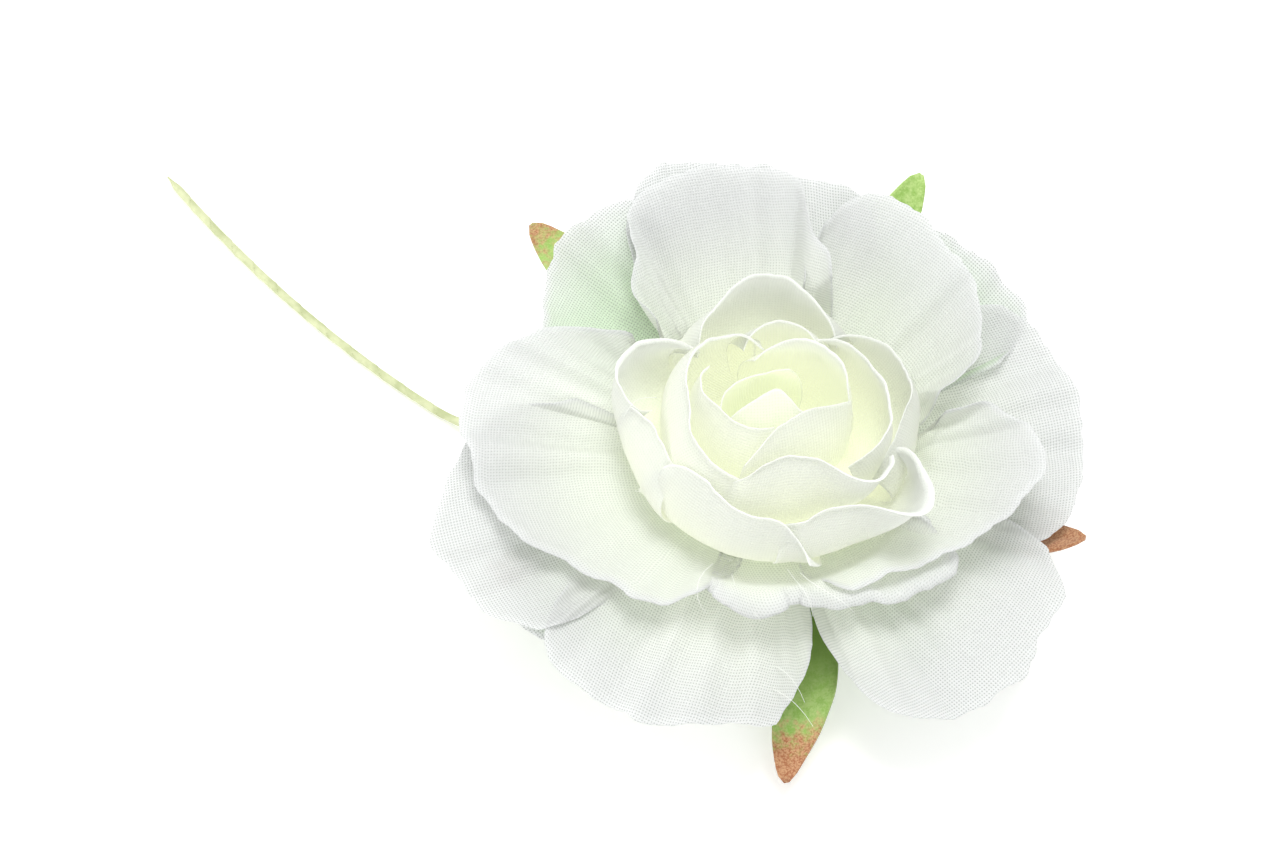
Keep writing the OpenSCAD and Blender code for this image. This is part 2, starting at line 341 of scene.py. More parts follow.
class Graph:
    """A material's node tree, written from Python."""

    def __init__(self, name: str) -> None:
        """Start an empty material.

        Args:
            name: the material's name.
        """
        self.material = bpy.data.materials.new(name)
        self.material.use_nodes = True
        self.tree = self.material.node_tree
        self.tree.nodes.clear()

    def node(self, kind: str, settings: dict | None = None, sockets: dict | None = None,
             output: Union[str, int] = 0) -> Wire:
        """Add any node.

        Args:
            kind: the node's type.
            settings: its properties, which are set first.
            sockets: values or links for its inputs, by name or number.
            output: which of its outputs to return, if it has any.

        Returns:
            The chosen output.
        """
        item = self.tree.nodes.new(kind)
        for key, value in (settings or {}).items():
            setattr(item, key, value)
        for key, value in (sockets or {}).items():
            if isinstance(value, Wire):
                self.tree.links.new(value.socket, item.inputs[key])
            else:
                item.inputs[key].default_value = value
        return Wire(self, item.outputs[output] if item.outputs else None)

    def mask(self, name: str) -> Wire:
        """Read one of the mesh's masks."""
        return self.node("ShaderNodeAttribute", {"attribute_name": name}, output="Fac")

    def flat(self) -> tuple[Wire, Wire]:
        """The place on the flat cloth, in millimetres.

        Returns:
            The two coordinates.
        """
        place = self.node("ShaderNodeUVMap", {"uv_map": "flat"})
        split = self.node("ShaderNodeSeparateXYZ", sockets={0: place})
        return split, Wire(self, split.socket.node.outputs[1])

    def object_place(self) -> Wire:
        """The place in the object's own space, in millimetres."""
        place = self.node("ShaderNodeTexCoord", output="Object")
        return self.node("ShaderNodeVectorMath", {"operation": "SCALE"}, {0: place, "Scale": 1 / MM})

    def grain(self, place: Wire, scale: float, detail: float = 2.0, rough: float = 0.5) -> Wire:
        """Noise from 0 to 1 at a place."""
        return self.node("ShaderNodeTexNoise", {"noise_dimensions": "3D"},
                         {"Vector": place, "Scale": scale, "Detail": detail, "Roughness": rough},
                         "Fac")

    def blend(self, share: Wire, a: Union[Wire, Colour], b: Union[Wire, Colour]) -> Wire:
        """Mix two colours."""
        return self.node("ShaderNodeMix", {"data_type": "RGBA"}, {"Factor": share, 6: a, 7: b}, 2)

    def bump(self, height: Wire, distance: float, strength: float = 1.0) -> Wire:
        """Turn a height from 0 to 1 into a normal; distance is in millimetres."""
        return self.node("ShaderNodeBump", sockets={"Height": height, "Distance": distance * MM,
                                                    "Strength": strength}, output="Normal")

    def finish(self, shader: Wire) -> bpy.types.Material:
        """Join the shader to the output and return the material."""
        self.node("ShaderNodeOutputMaterial", sockets={"Surface": shader})
        return self.material

    def finish_translucent(self, shell: Wire, colour: Wire, bump: Wire,
                           through: float) -> bpy.types.Material:
        """Let a share of the light through the shell, then finish.

        Args:
            shell: the surface's shader.
            colour: the cloth's or glue's colour.
            bump: the surface's normal.
            through: the share of light that passes.

        Returns:
            The finished material.
        """
        light = self.node("ShaderNodeBsdfTranslucent", sockets={"Color": colour, "Normal": bump})
        return self.finish(self.node("ShaderNodeMixShader", sockets={0: through, 1: shell, 2: light}))


def rgb(red: float, green: float, blue: float) -> Colour:
    """Turn a colour as it looks on screen into the values that shaders take.

    Args:
        red: the red part, 0 to 1.
        green: the green part.
        blue: the blue part.

    Returns:
        The linear colour, opaque.
    """
    def linear(c: float) -> float:
        """Undo the screen's curve for one channel."""
        return c / 12.92 if c <= 0.04045 else ((c + 0.055) / 1.055) ** 2.4
    return (linear(red), linear(green), linear(blue), 1.0)


# ---------------------------------------------------------------- finishes
@dataclass(frozen=True)
class PetalCloth:
    """Stiffened polyester weave, tinted green and darker towards the middle of the bloom, partly the
    cloth's own tint and partly painted shade of the hollows, and white at the rims; it glows with
    painted light in the hollows and along the cut edges.
    """

    name: str
    slot: str
    heart: Colour
    body: Colour
    rim: Colour
    heart_end: float
    body_end: float
    # Painted light: the emitted colours of the bloom's hollows and of the cut edges, and their
    # strength.
    painted_hollow_light: Colour
    painted_rim_light: Colour
    pitch: float = 0.56
    weave_depth: float = 0.09
    pore_shade: float = 0.33
    through: float = 0.5
    rim_width: float = 1.6
    painted_light_strength: float = 0.5

    def build(self) -> bpy.types.Material:
        """Make the material.

        Returns:
            The finished material.
        """
        g = Graph(self.name)
        u, v = g.flat()
        turns = 2 * math.pi / self.pitch
        height = (u * turns).sine() * (v * turns).sine() * 0.5 + 0.5
        place = g.object_place()
        patch = g.grain(place, 0.16, 3.0)
        reach = g.mask("reach") + (patch - 0.5) * 3.0
        # Painted shade, in part: the cloth is greener and darker towards the hub, partly its own tint
        # and partly the shade of the bloom's hollows.
        inner = g.blend(reach.steps(self.heart_end * 0.3, self.heart_end), self.heart, self.body)
        tint = g.blend(reach.steps(self.heart_end, self.body_end), inner, self.rim)
        edge = g.mask("edge").steps(0.0, self.rim_width)
        colour = g.blend(edge, self.rim, tint)
        pores = height.steps(0.5, 0.0, 0.0, self.pore_shade)
        shaded = g.blend(pores, colour, rgb(0.54, 0.56, 0.53))
        slub = g.grain(g.node("ShaderNodeCombineXYZ", sockets={0: u * 0.3, 1: v * 3.0}), 1.0)
        bump = g.bump(height * 0.8 + slub * 0.2, self.weave_depth, 0.9)
        # Painted light: an emission that lights the cloth in the bloom's hollows and along its cut
        # edges, standing in for light passing through and between the layers.
        painted_inner_light = g.blend(reach.steps(self.heart_end, self.body_end), self.painted_hollow_light, (0.0, 0.0, 0.0, 1.0))
        painted_inner_light = g.blend(edge, self.painted_rim_light, painted_inner_light)
        cloth = g.node("ShaderNodeBsdfPrincipled",
                       sockets={"Base Color": shaded, "Roughness": height * 0.15 + 0.6,
                                "Normal": bump, "Sheen Weight": 0.2, "Sheen Roughness": 0.4,
                                "Specular IOR Level": 0.3, "Emission Color": painted_inner_light,
                                "Emission Strength": self.painted_light_strength})
        return g.finish_translucent(cloth, shaded, bump, self.through)


@dataclass(frozen=True)
class FlockedPaper:
    """Sepal paper: mottled lime green over a darker root, with a rust stain where stain is high."""

    name: str = "sepal_flock"
    slot: str = "sepal_paper"

    def build(self) -> bpy.types.Material:
        """Make the material.

        Returns:
            The finished material.
        """
        g = Graph(self.name)
        place = g.object_place()
        mottle = g.grain(place, 0.9, 4.0, 0.65)
        fine = g.grain(place, 4.0, 2.0)
        lime = g.blend((mottle * 0.7 + fine * 0.3).steps(0.34, 0.64),
                       rgb(0.60, 0.76, 0.37), rgb(0.78, 0.88, 0.57))
        root = g.blend(g.mask("reach").steps(22.0, 41.0), rgb(0.40, 0.52, 0.20), lime)
        rust = g.blend(fine.steps(0.35, 0.65), rgb(0.66, 0.42, 0.28), rgb(0.80, 0.62, 0.46))
        stain = (g.mask("stain") + (mottle - 0.5) * 0.9).steps(0.35, 0.72)
        colour = g.blend(stain, root, rust)
        bump = g.bump(fine * 0.6 + mottle * 0.4, 0.12, 0.8)
        shell = g.node("ShaderNodeBsdfPrincipled",
                       sockets={"Base Color": colour, "Roughness": mottle * 0.15 + 0.75,
                                "Normal": bump, "Sheen Weight": 0.3, "Sheen Roughness": 0.6,
                                "Specular IOR Level": 0.2})
        return g.finish_translucent(shell, colour, bump, 0.15)


@dataclass(frozen=True)
class CrepePaper:
    """Pale green tape, waxed and wound round the wire."""

    name: str = "stem_tape"
    slot: str = "stem_paper"

    def build(self) -> bpy.types.Material:
        """Make the material.

        Returns:
            The finished material.
        """
        g = Graph(self.name)
        u, v = g.flat()
        place = g.object_place()
        crepe = g.grain(g.node("ShaderNodeCombineXYZ", sockets={0: u * 9.0, 1: v * 1.2}), 1.0, 3.0)
        soft = g.grain(place, 0.5, 3.0)
        colour = g.blend(soft.steps(0.3, 0.7), rgb(0.70, 0.73, 0.55), rgb(0.80, 0.82, 0.66))
        seam = g.blend(g.mask("seam").steps(0.55, 1.0), colour, rgb(0.60, 0.63, 0.45))
        bump = g.bump(crepe * 0.7 + soft * 0.3, 0.05, 0.8)
        return g.finish(g.node("ShaderNodeBsdfPrincipled",
                               sockets={"Base Color": seam, "Roughness": crepe * 0.2 + 0.55,
                                        "Normal": bump, "Specular IOR Level": 0.35}))


@dataclass(frozen=True)
class WoolFelt:
    """Matted ivory felt."""

    name: str = "ivory_felt"
    slot: str = "felt"

    def build(self) -> bpy.types.Material:
        """Make the material.

        Returns:
            The finished material.
        """
        g = Graph(self.name)
        place = g.object_place()
        clumps = g.grain(place, 0.8, 4.0, 0.7)
        hairs = g.grain(place, 5.0, 3.0, 0.7)
        colour = g.blend((clumps * 0.6 + hairs * 0.4).steps(0.35, 0.65),
                         rgb(0.84, 0.82, 0.76), rgb(0.95, 0.94, 0.90))
        bump = g.bump(hairs * 0.7 + clumps * 0.3, 0.18, 1.0)
        return g.finish(g.node("ShaderNodeBsdfPrincipled",
                               sockets={"Base Color": colour, "Roughness": hairs * 0.1 + 0.88,
                                        "Normal": bump, "Sheen Weight": 0.4, "Sheen Roughness": 0.6,
                                        "Specular IOR Level": 0.15}))


@dataclass(frozen=True)
class HotMelt:
    """Cloudy set glue."""

    name: str = "hot_melt"
    slot: str = "glue"

    def build(self) -> bpy.types.Material:
        """Make the material.

        Returns:
            The finished material.
        """
        g = Graph(self.name)
        place = g.object_place()
        cloud = g.grain(place, 0.35, 3.0)
        colour = g.blend(cloud.steps(0.3, 0.7), rgb(0.84, 0.83, 0.76), rgb(0.94, 0.93, 0.88))
        bump = g.bump(g.grain(place, 0.7, 2.0), 0.15, 0.5)
        shell = g.node("ShaderNodeBsdfPrincipled",
                       sockets={"Base Color": colour, "Roughness": cloud * 0.15 + 0.22,
                                "Normal": bump, "Specular IOR Level": 0.45})
        return g.finish_translucent(shell, colour, bump, 0.35)


class Brushing(Enum):
    """Which way a metal's fine scratches run."""

    ALONG_X = (0.08, 3.0, 3.0)
    ALL_ROUND = (2.0, 2.0, 2.0)


@dataclass(frozen=True)
class Metal:
    """Plated or drawn steel with fine scratches and dull handled patches."""

    name: str
    slot: str
    colour: Colour
    roughness: float
    brushing: Brushing

    def build(self) -> bpy.types.Material:
        """Make the material.

        Returns:
            The finished material.
        """
        g = Graph(self.name)
        place = g.object_place()
        along = g.node("ShaderNodeVectorMath", {"operation": "MULTIPLY"},
                       {0: place, 1: self.brushing.value})
        scratch = g.grain(along, 2.0, 4.0, 0.7)
        dull = g.grain(place, 0.25, 3.0)
        dark = tuple(c * 0.78 for c in self.colour[:3]) + (1.0,)
        tone = g.blend((dull * 0.6 + scratch * 0.4).steps(0.3, 0.65), dark, self.colour)
        rough = scratch * 0.14 + dull * 0.12 + (self.roughness - 0.13)
        return g.finish(g.node("ShaderNodeBsdfPrincipled",
                               sockets={"Base Color": tone, "Metallic": 1.0, "Roughness": rough,
                                        "Normal": g.bump(scratch, 0.012, 0.5)}))


@dataclass(frozen=True)
class Moulded:
    """Moulded plastic with a faint flow pattern."""

    name: str
    slot: str
    colour: Colour
    shade: Colour

    def build(self) -> bpy.types.Material:
        """Make the material.

        Returns:
            The finished material.
        """
        g = Graph(self.name)
        place = g.object_place()
        flow = g.grain(place, 0.5, 3.0)
        colour = g.blend(flow.steps(0.3, 0.7), self.shade, self.colour)
        return g.finish(g.node("ShaderNodeBsdfPrincipled",
                               sockets={"Base Color": colour, "Roughness": flow * 0.2 + 0.38,
                                        "Normal": g.bump(g.grain(place, 3.0), 0.03, 0.5),
                                        "Specular IOR Level": 0.45}))


# The glow colours and strengths below are painted light.
WHITE_CLOTH = PetalCloth("petal_white_cloth", "petal_white", heart=rgb(0.915, 0.943, 0.87),
                         body=rgb(0.936, 0.944, 0.924), rim=rgb(0.938, 0.942, 0.94), heart_end=20.0,
                         body_end=38.0, painted_hollow_light=rgb(0.61, 0.63, 0.57), painted_rim_light=rgb(0.42, 0.42, 0.43))
# The two lower rings get darker weave pores: the weave is real, its extra darkness there is painted
# shade of the lower petals.
MINT_CLOTH = replace(WHITE_CLOTH, name="petal_mint_cloth", heart=rgb(0.85, 0.91, 0.80),
                     body=rgb(0.87, 0.925, 0.85), heart_end=26.0, body_end=44.0, pore_shade=0.6)
LOWER_CLOTH = replace(WHITE_CLOTH, name="petal_lower_cloth", pore_shade=0.5)
CREAM_CLOTH = PetalCloth("petal_cream_cloth", "petal_cream", heart=rgb(0.952, 0.958, 0.91),
                         body=rgb(0.95, 0.955, 0.915), rim=rgb(0.955, 0.96, 0.95), heart_end=12.0,
                         body_end=25.0, painted_hollow_light=rgb(0.80, 0.805, 0.75), painted_rim_light=rgb(0.75, 0.75, 0.74),
                         weave_depth=0.06, pore_shade=0.08, through=0.6, rim_width=0.7,
                         painted_light_strength=0.61)
NICKEL = Metal("clip_nickel", "clip_steel", rgb(0.80, 0.80, 0.79), 0.30, Brushing.ALONG_X)
SPRING_WIRE = Metal("spring_wire", "spring_steel", rgb(0.62, 0.62, 0.63), 0.34, Brushing.ALL_ROUND)
STEM_WIRE = Metal("stem_wire_steel", "wire", rgb(0.58, 0.58, 0.57), 0.42, Brushing.ALL_ROUND)
CALYX_GREEN = Moulded("calyx_green", "green_plastic", rgb(0.52, 0.70, 0.30), rgb(0.42, 0.60, 0.22))
CORE_GREEN = Moulded("core_pale", "core_plastic", rgb(0.82, 0.90, 0.66), rgb(0.72, 0.84, 0.54))


# ---------------------------------------------------------------- petals
def polar(azimuth: float, radius: float, height: float) -> np.ndarray:
    """A point given by its direction in degrees, distance from the axis and height."""
    a = math.radians(azimuth)
    return np.array([radius * math.cos(a), radius * math.sin(a), height])


RUFFLE_WAVE = 9.0    # lengths of the cloth's waves, in millimetres
CRUMPLE_WAVE = 11.0
CREASE_WAVE = 3.4
FOLD_WAVE = 4.2
CUT_WAVES = ((6.0, 1.0), (2.6, 0.5), (1.1, 0.22))    # length and share of each wave of the cut rim


@dataclass
class Petal:
    """One petal of a die-cut ring, from the hub to a free rim.

    The rim is a list of (direction in degrees, distance from the axis, height) in millimetres, from
    one slit to the next. Past it the last few millimetres of cloth roll outwards: roll is how many,
    at evenly spread places along the rim, and turn is by how many degrees.
    """

    rim: Sequence[Triple]
    roll: Sequence[float] = (1.2, 1.2)
    turn: float = 60.0
    ruffle: float = 0.5
    folds: float = 0.0
    crumple: float = 0.35
    pleats: Sequence[Triple] = ()
    fray: tuple[float, float] = (0.0, 0.0)
    bias: float = 45.0
    wander: float = 0.35
    pale: float = 1.0
    across: int = 72
    along: int = 34
    roll_rows: int = 7
    hem: float = 1.0

    def columns(self, edge: np.ndarray, hub: tuple[float, float]) -> np.ndarray:
        """Bezier points of every column, from the hub to the rim.

        Args:
            edge: the rim's points.
            hub: the hub's radius and height.

        Returns:
            Four control points for each point of the rim.
        """
        raise NotImplementedError

    def sheet(self, hub: tuple[float, float], seed: float) -> Sheet:
        """Shape the petal.

        Args:
            hub: the hub's radius and height.
            seed: picks this petal's crumple.

        Returns:
            The grid, its flat coordinates and its masks.
        """
        edge = smooth_curve([polar(*p) for p in self.rim], self.across)
        edge = edge + self.notches(edge, seed)
        controls = self.columns(edge, hub)
        t = np.linspace(0, 1, self.along)[None, :, None]
        points = bezier([controls[:, k][:, None, :] for k in range(4)], t)
        normal = surface_up(points)
        u = np.linspace(0, 1, self.across)[:, None]
        far = np.broadcast_to(t[..., 0], points.shape[:2])
        width = float(np.linalg.norm(np.diff(edge, axis=0), axis=1).sum())
        place = np.stack([u * width + far * 0, far * 30 * 0.25, far * 0], axis=-1)
        fine = np.stack([u * width + far * 0, far * 8, far * 0], axis=-1)
        lift = self.ruffle * ease((far - 0.4) / 0.6) * 1.6 * wobble(place, RUFFLE_WAVE, seed)
        creases = wobble(points, CRUMPLE_WAVE, seed + 5) + 0.45 * wobble(fine, CREASE_WAVE, seed + 3)
        lift = lift + self.crumple * ease((far - 0.2) / 0.4) * creases
        folds = wobble(place * np.array([1.0, 0.12, 1.0]), FOLD_WAVE, seed + 8)
        lift = lift + self.folds * ease((far - 0.25) / 0.4) * folds
        for centre, depth, spread in self.pleats:
            fold = np.exp(-((u - centre) / spread) ** 2)
            lift = lift + depth * ease((far - 0.2) / 0.4) * (1 - 0.35 * far) * fold
        points = self.tuck(points + normal * lift[..., None], hub[1])
        points = np.concatenate([points, self.rolled(points, surface_up(points))], axis=1)
        return self.finish_sheet(points, hub[0])

    def tuck(self, points: np.ndarray, floor: float) -> np.ndarray:
        """Keep the cloth out of what is glued on top of it; floor is the hub's height."""
        return points

    def notches(self, edge: np.ndarray, seed: float) -> np.ndarray:
        """Small in and out wander of the cut rim.

        Args:
            edge: the rim's points.
            seed: picks the wander.

        Returns:
            The shift of each point.
        """
        way = edge * np.array([1.0, 1.0, 0.0])
        share = np.sin(math.pi * np.linspace(0, 1, self.across)) ** 0.5
        waves = [part * wobble(edge, wave, seed + 11 + k) for k, (wave, part) in enumerate(CUT_WAVES)]
        wander = self.wander * sum(waves) * share
        return unit(way) * wander[:, None]

    def rolled(self, points: np.ndarray, normal: np.ndarray) -> np.ndarray:
        """Rows of cloth past the rim, bent outwards along an arc.

        Args:
            points: the petal's grid up to the rim.
            normal: its normals.

        Returns:
            The grid of the added rows.
        """
        share = np.linspace(0, 1, self.across)
        length = np.interp(share, np.linspace(0, 1, len(self.roll)), self.roll)
        length = np.maximum(length * self.hem, 0.12)[:, None, None]
        heading = points[:, -1] - points[:, -3]
        for _ in range(4):
            heading[1:-1] = (heading[:-2] + 2 * heading[1:-1] + heading[2:]) / 4
        heading = unit(heading)[:, None]
        up = normal[:, -1][:, None]
        up = unit(up - heading * (up * heading).sum(-1, keepdims=True))
        turn = math.radians(self.turn)
        angle = turn * np.linspace(0, 1, self.roll_rows + 1)[1:][None, :, None]
        radius = length / turn
        return points[:, -1][:, None] + radius * (heading * np.sin(angle) - up * (1 - np.cos(angle)))

    def finish_sheet(self, points: np.ndarray, hub_radius: float) -> Sheet:
        """Work out the flat cut and the masks of a shaped petal.

        Args:
            points: the whole grid.
            hub_radius: the hub's radius.

        Returns:
            The grid with its flat coordinates and its masks.
        """
        steps = np.linalg.norm(np.diff(points, axis=1), axis=2)
        lengths = np.concatenate([np.zeros((self.across, 1)), np.cumsum(steps, axis=1)], axis=1)
        sides = np.linalg.norm(np.diff(points, axis=0), axis=2)
        sides = np.sqrt(np.maximum(sides ** 2 - np.diff(lengths, axis=0) ** 2, 0))
        across = np.concatenate([np.zeros((1, points.shape[1])), np.cumsum(sides, axis=0)], axis=0)
        half = across[-1:] / 2
        x, y = across - half, lengths + hub_radius
        turn = math.radians(self.bias)
        flat = np.stack([x * math.cos(turn) - y * math.sin(turn),
                         x * math.sin(turn) + y * math.cos(turn)], axis=-1)
        side = np.minimum(across, 2 * half - across) + 0.4
        gap = np.minimum(lengths[:, -1:] - lengths, side)
        return Sheet(points, flat,
                     {"reach": lengths, "edge": gap / self.pale, "across": x + 0 * lengths})


CUP_FOOT = ((17.0, 20.0, 22.0, 24.0), (0.15, 1.2, 4.0, 10.5))    # distance from the axis, free height


@dataclass
class FlatPetal(Petal):
    """An outer petal, nearly flat; belly gives its inner control points as shares of the rim's."""

    belly: tuple[tuple[float, float], tuple[float, float]] = ((0.35, -0.03), (0.72, 0.34))
    folds: float = 1.3
    ruffle: float = 1.1
    wander: float = 1.2
    roll: Sequence[float] = (0.35, 0.35)
    turn: float = 25.0
    across: int = 110

    def columns(self, edge: np.ndarray, hub: tuple[float, float]) -> np.ndarray:
        """Bezier points of every column, each in its own upright plane.

        Args:
            edge: the rim's points.
            hub: the hub's radius and height.

        Returns:
            Four control points for each point of the rim.
        """
        reach = np.hypot(edge[:, 0], edge[:, 1])[:, None]
        way = np.column_stack([edge[:, :2] / reach, np.zeros(len(edge))])
        rise = edge[:, 2:3] - hub[1]
        up = np.array([0, 0, 1.0])
        rows = [way * hub[0] + up * hub[1]]
        for out, lift in self.belly:
            rows.append(way * reach * out + up * (hub[1] + rise * lift))
        rows.append(edge)
        return np.stack(rows, axis=1)

    def tuck(self, points: np.ndarray, floor: float) -> np.ndarray:
        """Press the cloth down under the cups and let it rise only beside them.

        Args:
            points: the petal's grid.
            floor: the hub's height.

        Returns:
            The pressed grid.
        """
        out = np.hypot(points[..., 0], points[..., 1])
        limit = floor + np.interp(out, *CUP_FOOT)
        tucked = points.copy()
        tucked[..., 2] = np.minimum(points[..., 2], limit)
        return tucked


@dataclass
class CupPetal(Petal):
    """A cupped petal; foot gives its root's directions, belly its controls as (radius, height)."""

    foot: tuple[float, float] = (0.0, 90.0)
    belly: tuple[tuple[float, float], tuple[float, float]] = ((18.0, 16.0), (22.0, 22.0))
    lean: float = 0.5
    along: int = 40
    hem: float = 0.62
    wander: float = 0.55
    ruffle: float = 0.65

    def columns(self, edge: np.ndarray, hub: tuple[float, float]) -> np.ndarray:
        """Bezier points of every column; lean is how far the waist follows the rim sideways.

        Args:
            edge: the rim's points.
            hub: the hub's radius and height.

        Returns:
            Four control points for each point of the rim.
        """
        rows = []
        start, end = self.foot
        for k, tip in enumerate(edge):
            root = start + (end - start) * k / (self.across - 1)
            side = math.degrees(math.atan2(tip[1], tip[0]))
            drift = ((side - root + 180) % 360 - 180) * self.lean
            rows.append([polar(root, *hub), polar(root + drift * 0.4, *self.belly[0]),
                         polar(root + drift, *self.belly[1]), tip])
        return np.array(rows)


def surface_up(points: np.ndarray) -> np.ndarray:
    """Normals of a petal's grid on the side that faces up at its root."""
    normal = surface_normals(points)
    return normal if normal[points.shape[0] // 2, 2, 2] > 0 else -normal


def cut_area(sheet: Sheet) -> float:
    """Area of one grid's cloth, which bending doesn't change.

    Args:
        sheet: the grid.

    Returns:
        Its area on one side, in square millimetres.
    """
    p = sheet.points
    first = np.cross(p[1:, :-1] - p[:-1, :-1], p[:-1, 1:] - p[:-1, :-1])
    second = np.cross(p[1:, 1:] - p[:-1, 1:], p[1:, 1:] - p[1:, :-1])
    return float(np.linalg.norm(first, axis=-1).sum() + np.linalg.norm(second, axis=-1).sum()) / 2


@dataclass
class Thread:
    """A fine thread along a Bezier curve, in millimetres."""

    points: Sequence[np.ndarray]
    radius: float = 0.05


def thread_mesh(name: str, threads: Sequence[Thread],
                material: bpy.types.Material) -> bpy.types.Object:
    """Make one object of many threads, each a thin tube that tapers to its end.

    Args:
        name: the object's name.
        threads: the threads.
        material: the finish.

    Returns:
        The new object.
    """
    vertices: list = []
    faces: list = []
    sides, steps = 4, 7
    for item in threads:
        line = bezier([np.array(p, float) for p in item.points], np.linspace(0, 1, steps)[:, None])
        start = len(vertices)
        way = unit(np.gradient(line, axis=0))
        side = unit(np.cross(way, np.array([0.3, 0.5, 0.8])))
        up = np.cross(side, way)
        for i in range(steps):
            r = item.radius * (1 - 0.5 * i / steps)
            for k in range(sides):
                angle = 2 * math.pi * k / sides
                out = side[i] * math.cos(angle) + up[i] * math.sin(angle)
                vertices.append((line[i] + r * out) * MM)
        for i in range(steps - 1):
            for k in range(sides):
                a, b = start + i * sides + k, start + i * sides + (k + 1) % sides
                faces.append((a, b, b + sides, a + sides))
        faces.append(tuple(start + k for k in range(sides - 1, -1, -1)))
        faces.append(tuple(start + (steps - 1) * sides + k for k in range(sides)))
    return new_piece(name, [tuple(v) for v in vertices], faces, material)


def fringe(column: np.ndarray, beside: np.ndarray, length: float,
           chance: random.Random) -> list[Thread]:
    """Frayed threads along a slit edge.

    Args:
        column: the edge's points.
        beside: the next column in, which gives the direction across the cloth.
        length: the longest thread in millimetres.
        chance: the seeded random source.

    Returns:
        The threads.
    """
    threads = []
    run = run_lengths(column)
    at = run[-1] * 0.35
    while at < run[-1] - 0.5:
        base = np.array([np.interp(at, run, column[:, k]) for k in range(3)])
        inner = np.array([np.interp(at, run, beside[:, k]) for k in range(3)])
        out = unit(base - inner)
        along = unit(column[-1] - column[0])
        jitter = np.array([chance.uniform(-1, 1) for _ in range(3)])
        reach = length * chance.uniform(0.25, 1.0)
        end = base + reach * unit(out + along * chance.uniform(-0.5, 0.3) + 0.35 * jitter)
        bend = 0.25 * reach * jitter
        threads.append(Thread([inner, base + out * reach * 0.3, (base + end) / 2 + bend, end], 0.045))
        at += chance.uniform(0.3, 0.6)
    return threads


@dataclass
class PetalRing:
    """A ring of petals cut from one blank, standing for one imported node."""

    node: str
    hub: tuple[float, float]
    petals: Sequence[Petal]
    cloth: PetalCloth
    seed: float
    thickness: float = 0.09

    def build(self, material: bpy.types.Material) -> None:
        """Make the ring's object and its frayed threads.

        Args:
            material: the cloth's finish.
        """
        sheets = [petal.sheet(self.hub, self.seed + 0.37 * k) for k, petal in enumerate(self.petals)]
        area = sum(cut_area(sheet) for sheet in sheets)
        piece = mesh_from_sheets(self.node + "_cloth", sheets, self.thickness, material)
        length = 2 * max(float(sheet.masks["reach"].max()) for sheet in sheets) + 2 * self.hub[0]
        width = length
        if len(sheets) == 2:
            width = max(float(np.ptp(sheet.masks["across"])) for sheet in sheets)
        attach(piece, "bloom")
        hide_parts(self.node)
        width * MM
        length * MM
        min(area, width * length) * MM * MM
        LOG.info("%s: %d petals, %.0f mm2 of cloth from a %.0f x %.0f mm blank",
                 piece.name, len(sheets), area, width, length)
        self.fray(sheets, material)

    def fray(self, sheets: Sequence[Sheet], material: bpy.types.Material) -> None:
        """Add the frayed threads of the ring's slit edges.

        Args:
            sheets: the shaped petals.
            material: the cloth's finish.
        """
        chance = random.Random(int(self.seed * 10))
        threads: list[Thread] = []
        for petal, sheet in zip(self.petals, sheets):
            if petal.fray[0]:
                threads += fringe(sheet.points[0], sheet.points[2], petal.fray[0], chance)
            if petal.fray[1]:
                threads += fringe(sheet.points[-1], sheet.points[-3], petal.fray[1], chance)
        if threads:
            piece = thread_mesh(self.node + "_frayed_edge", threads, material)
            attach(piece, "bloom")
            LOG.info("%s: %d threads", piece.name, len(threads))


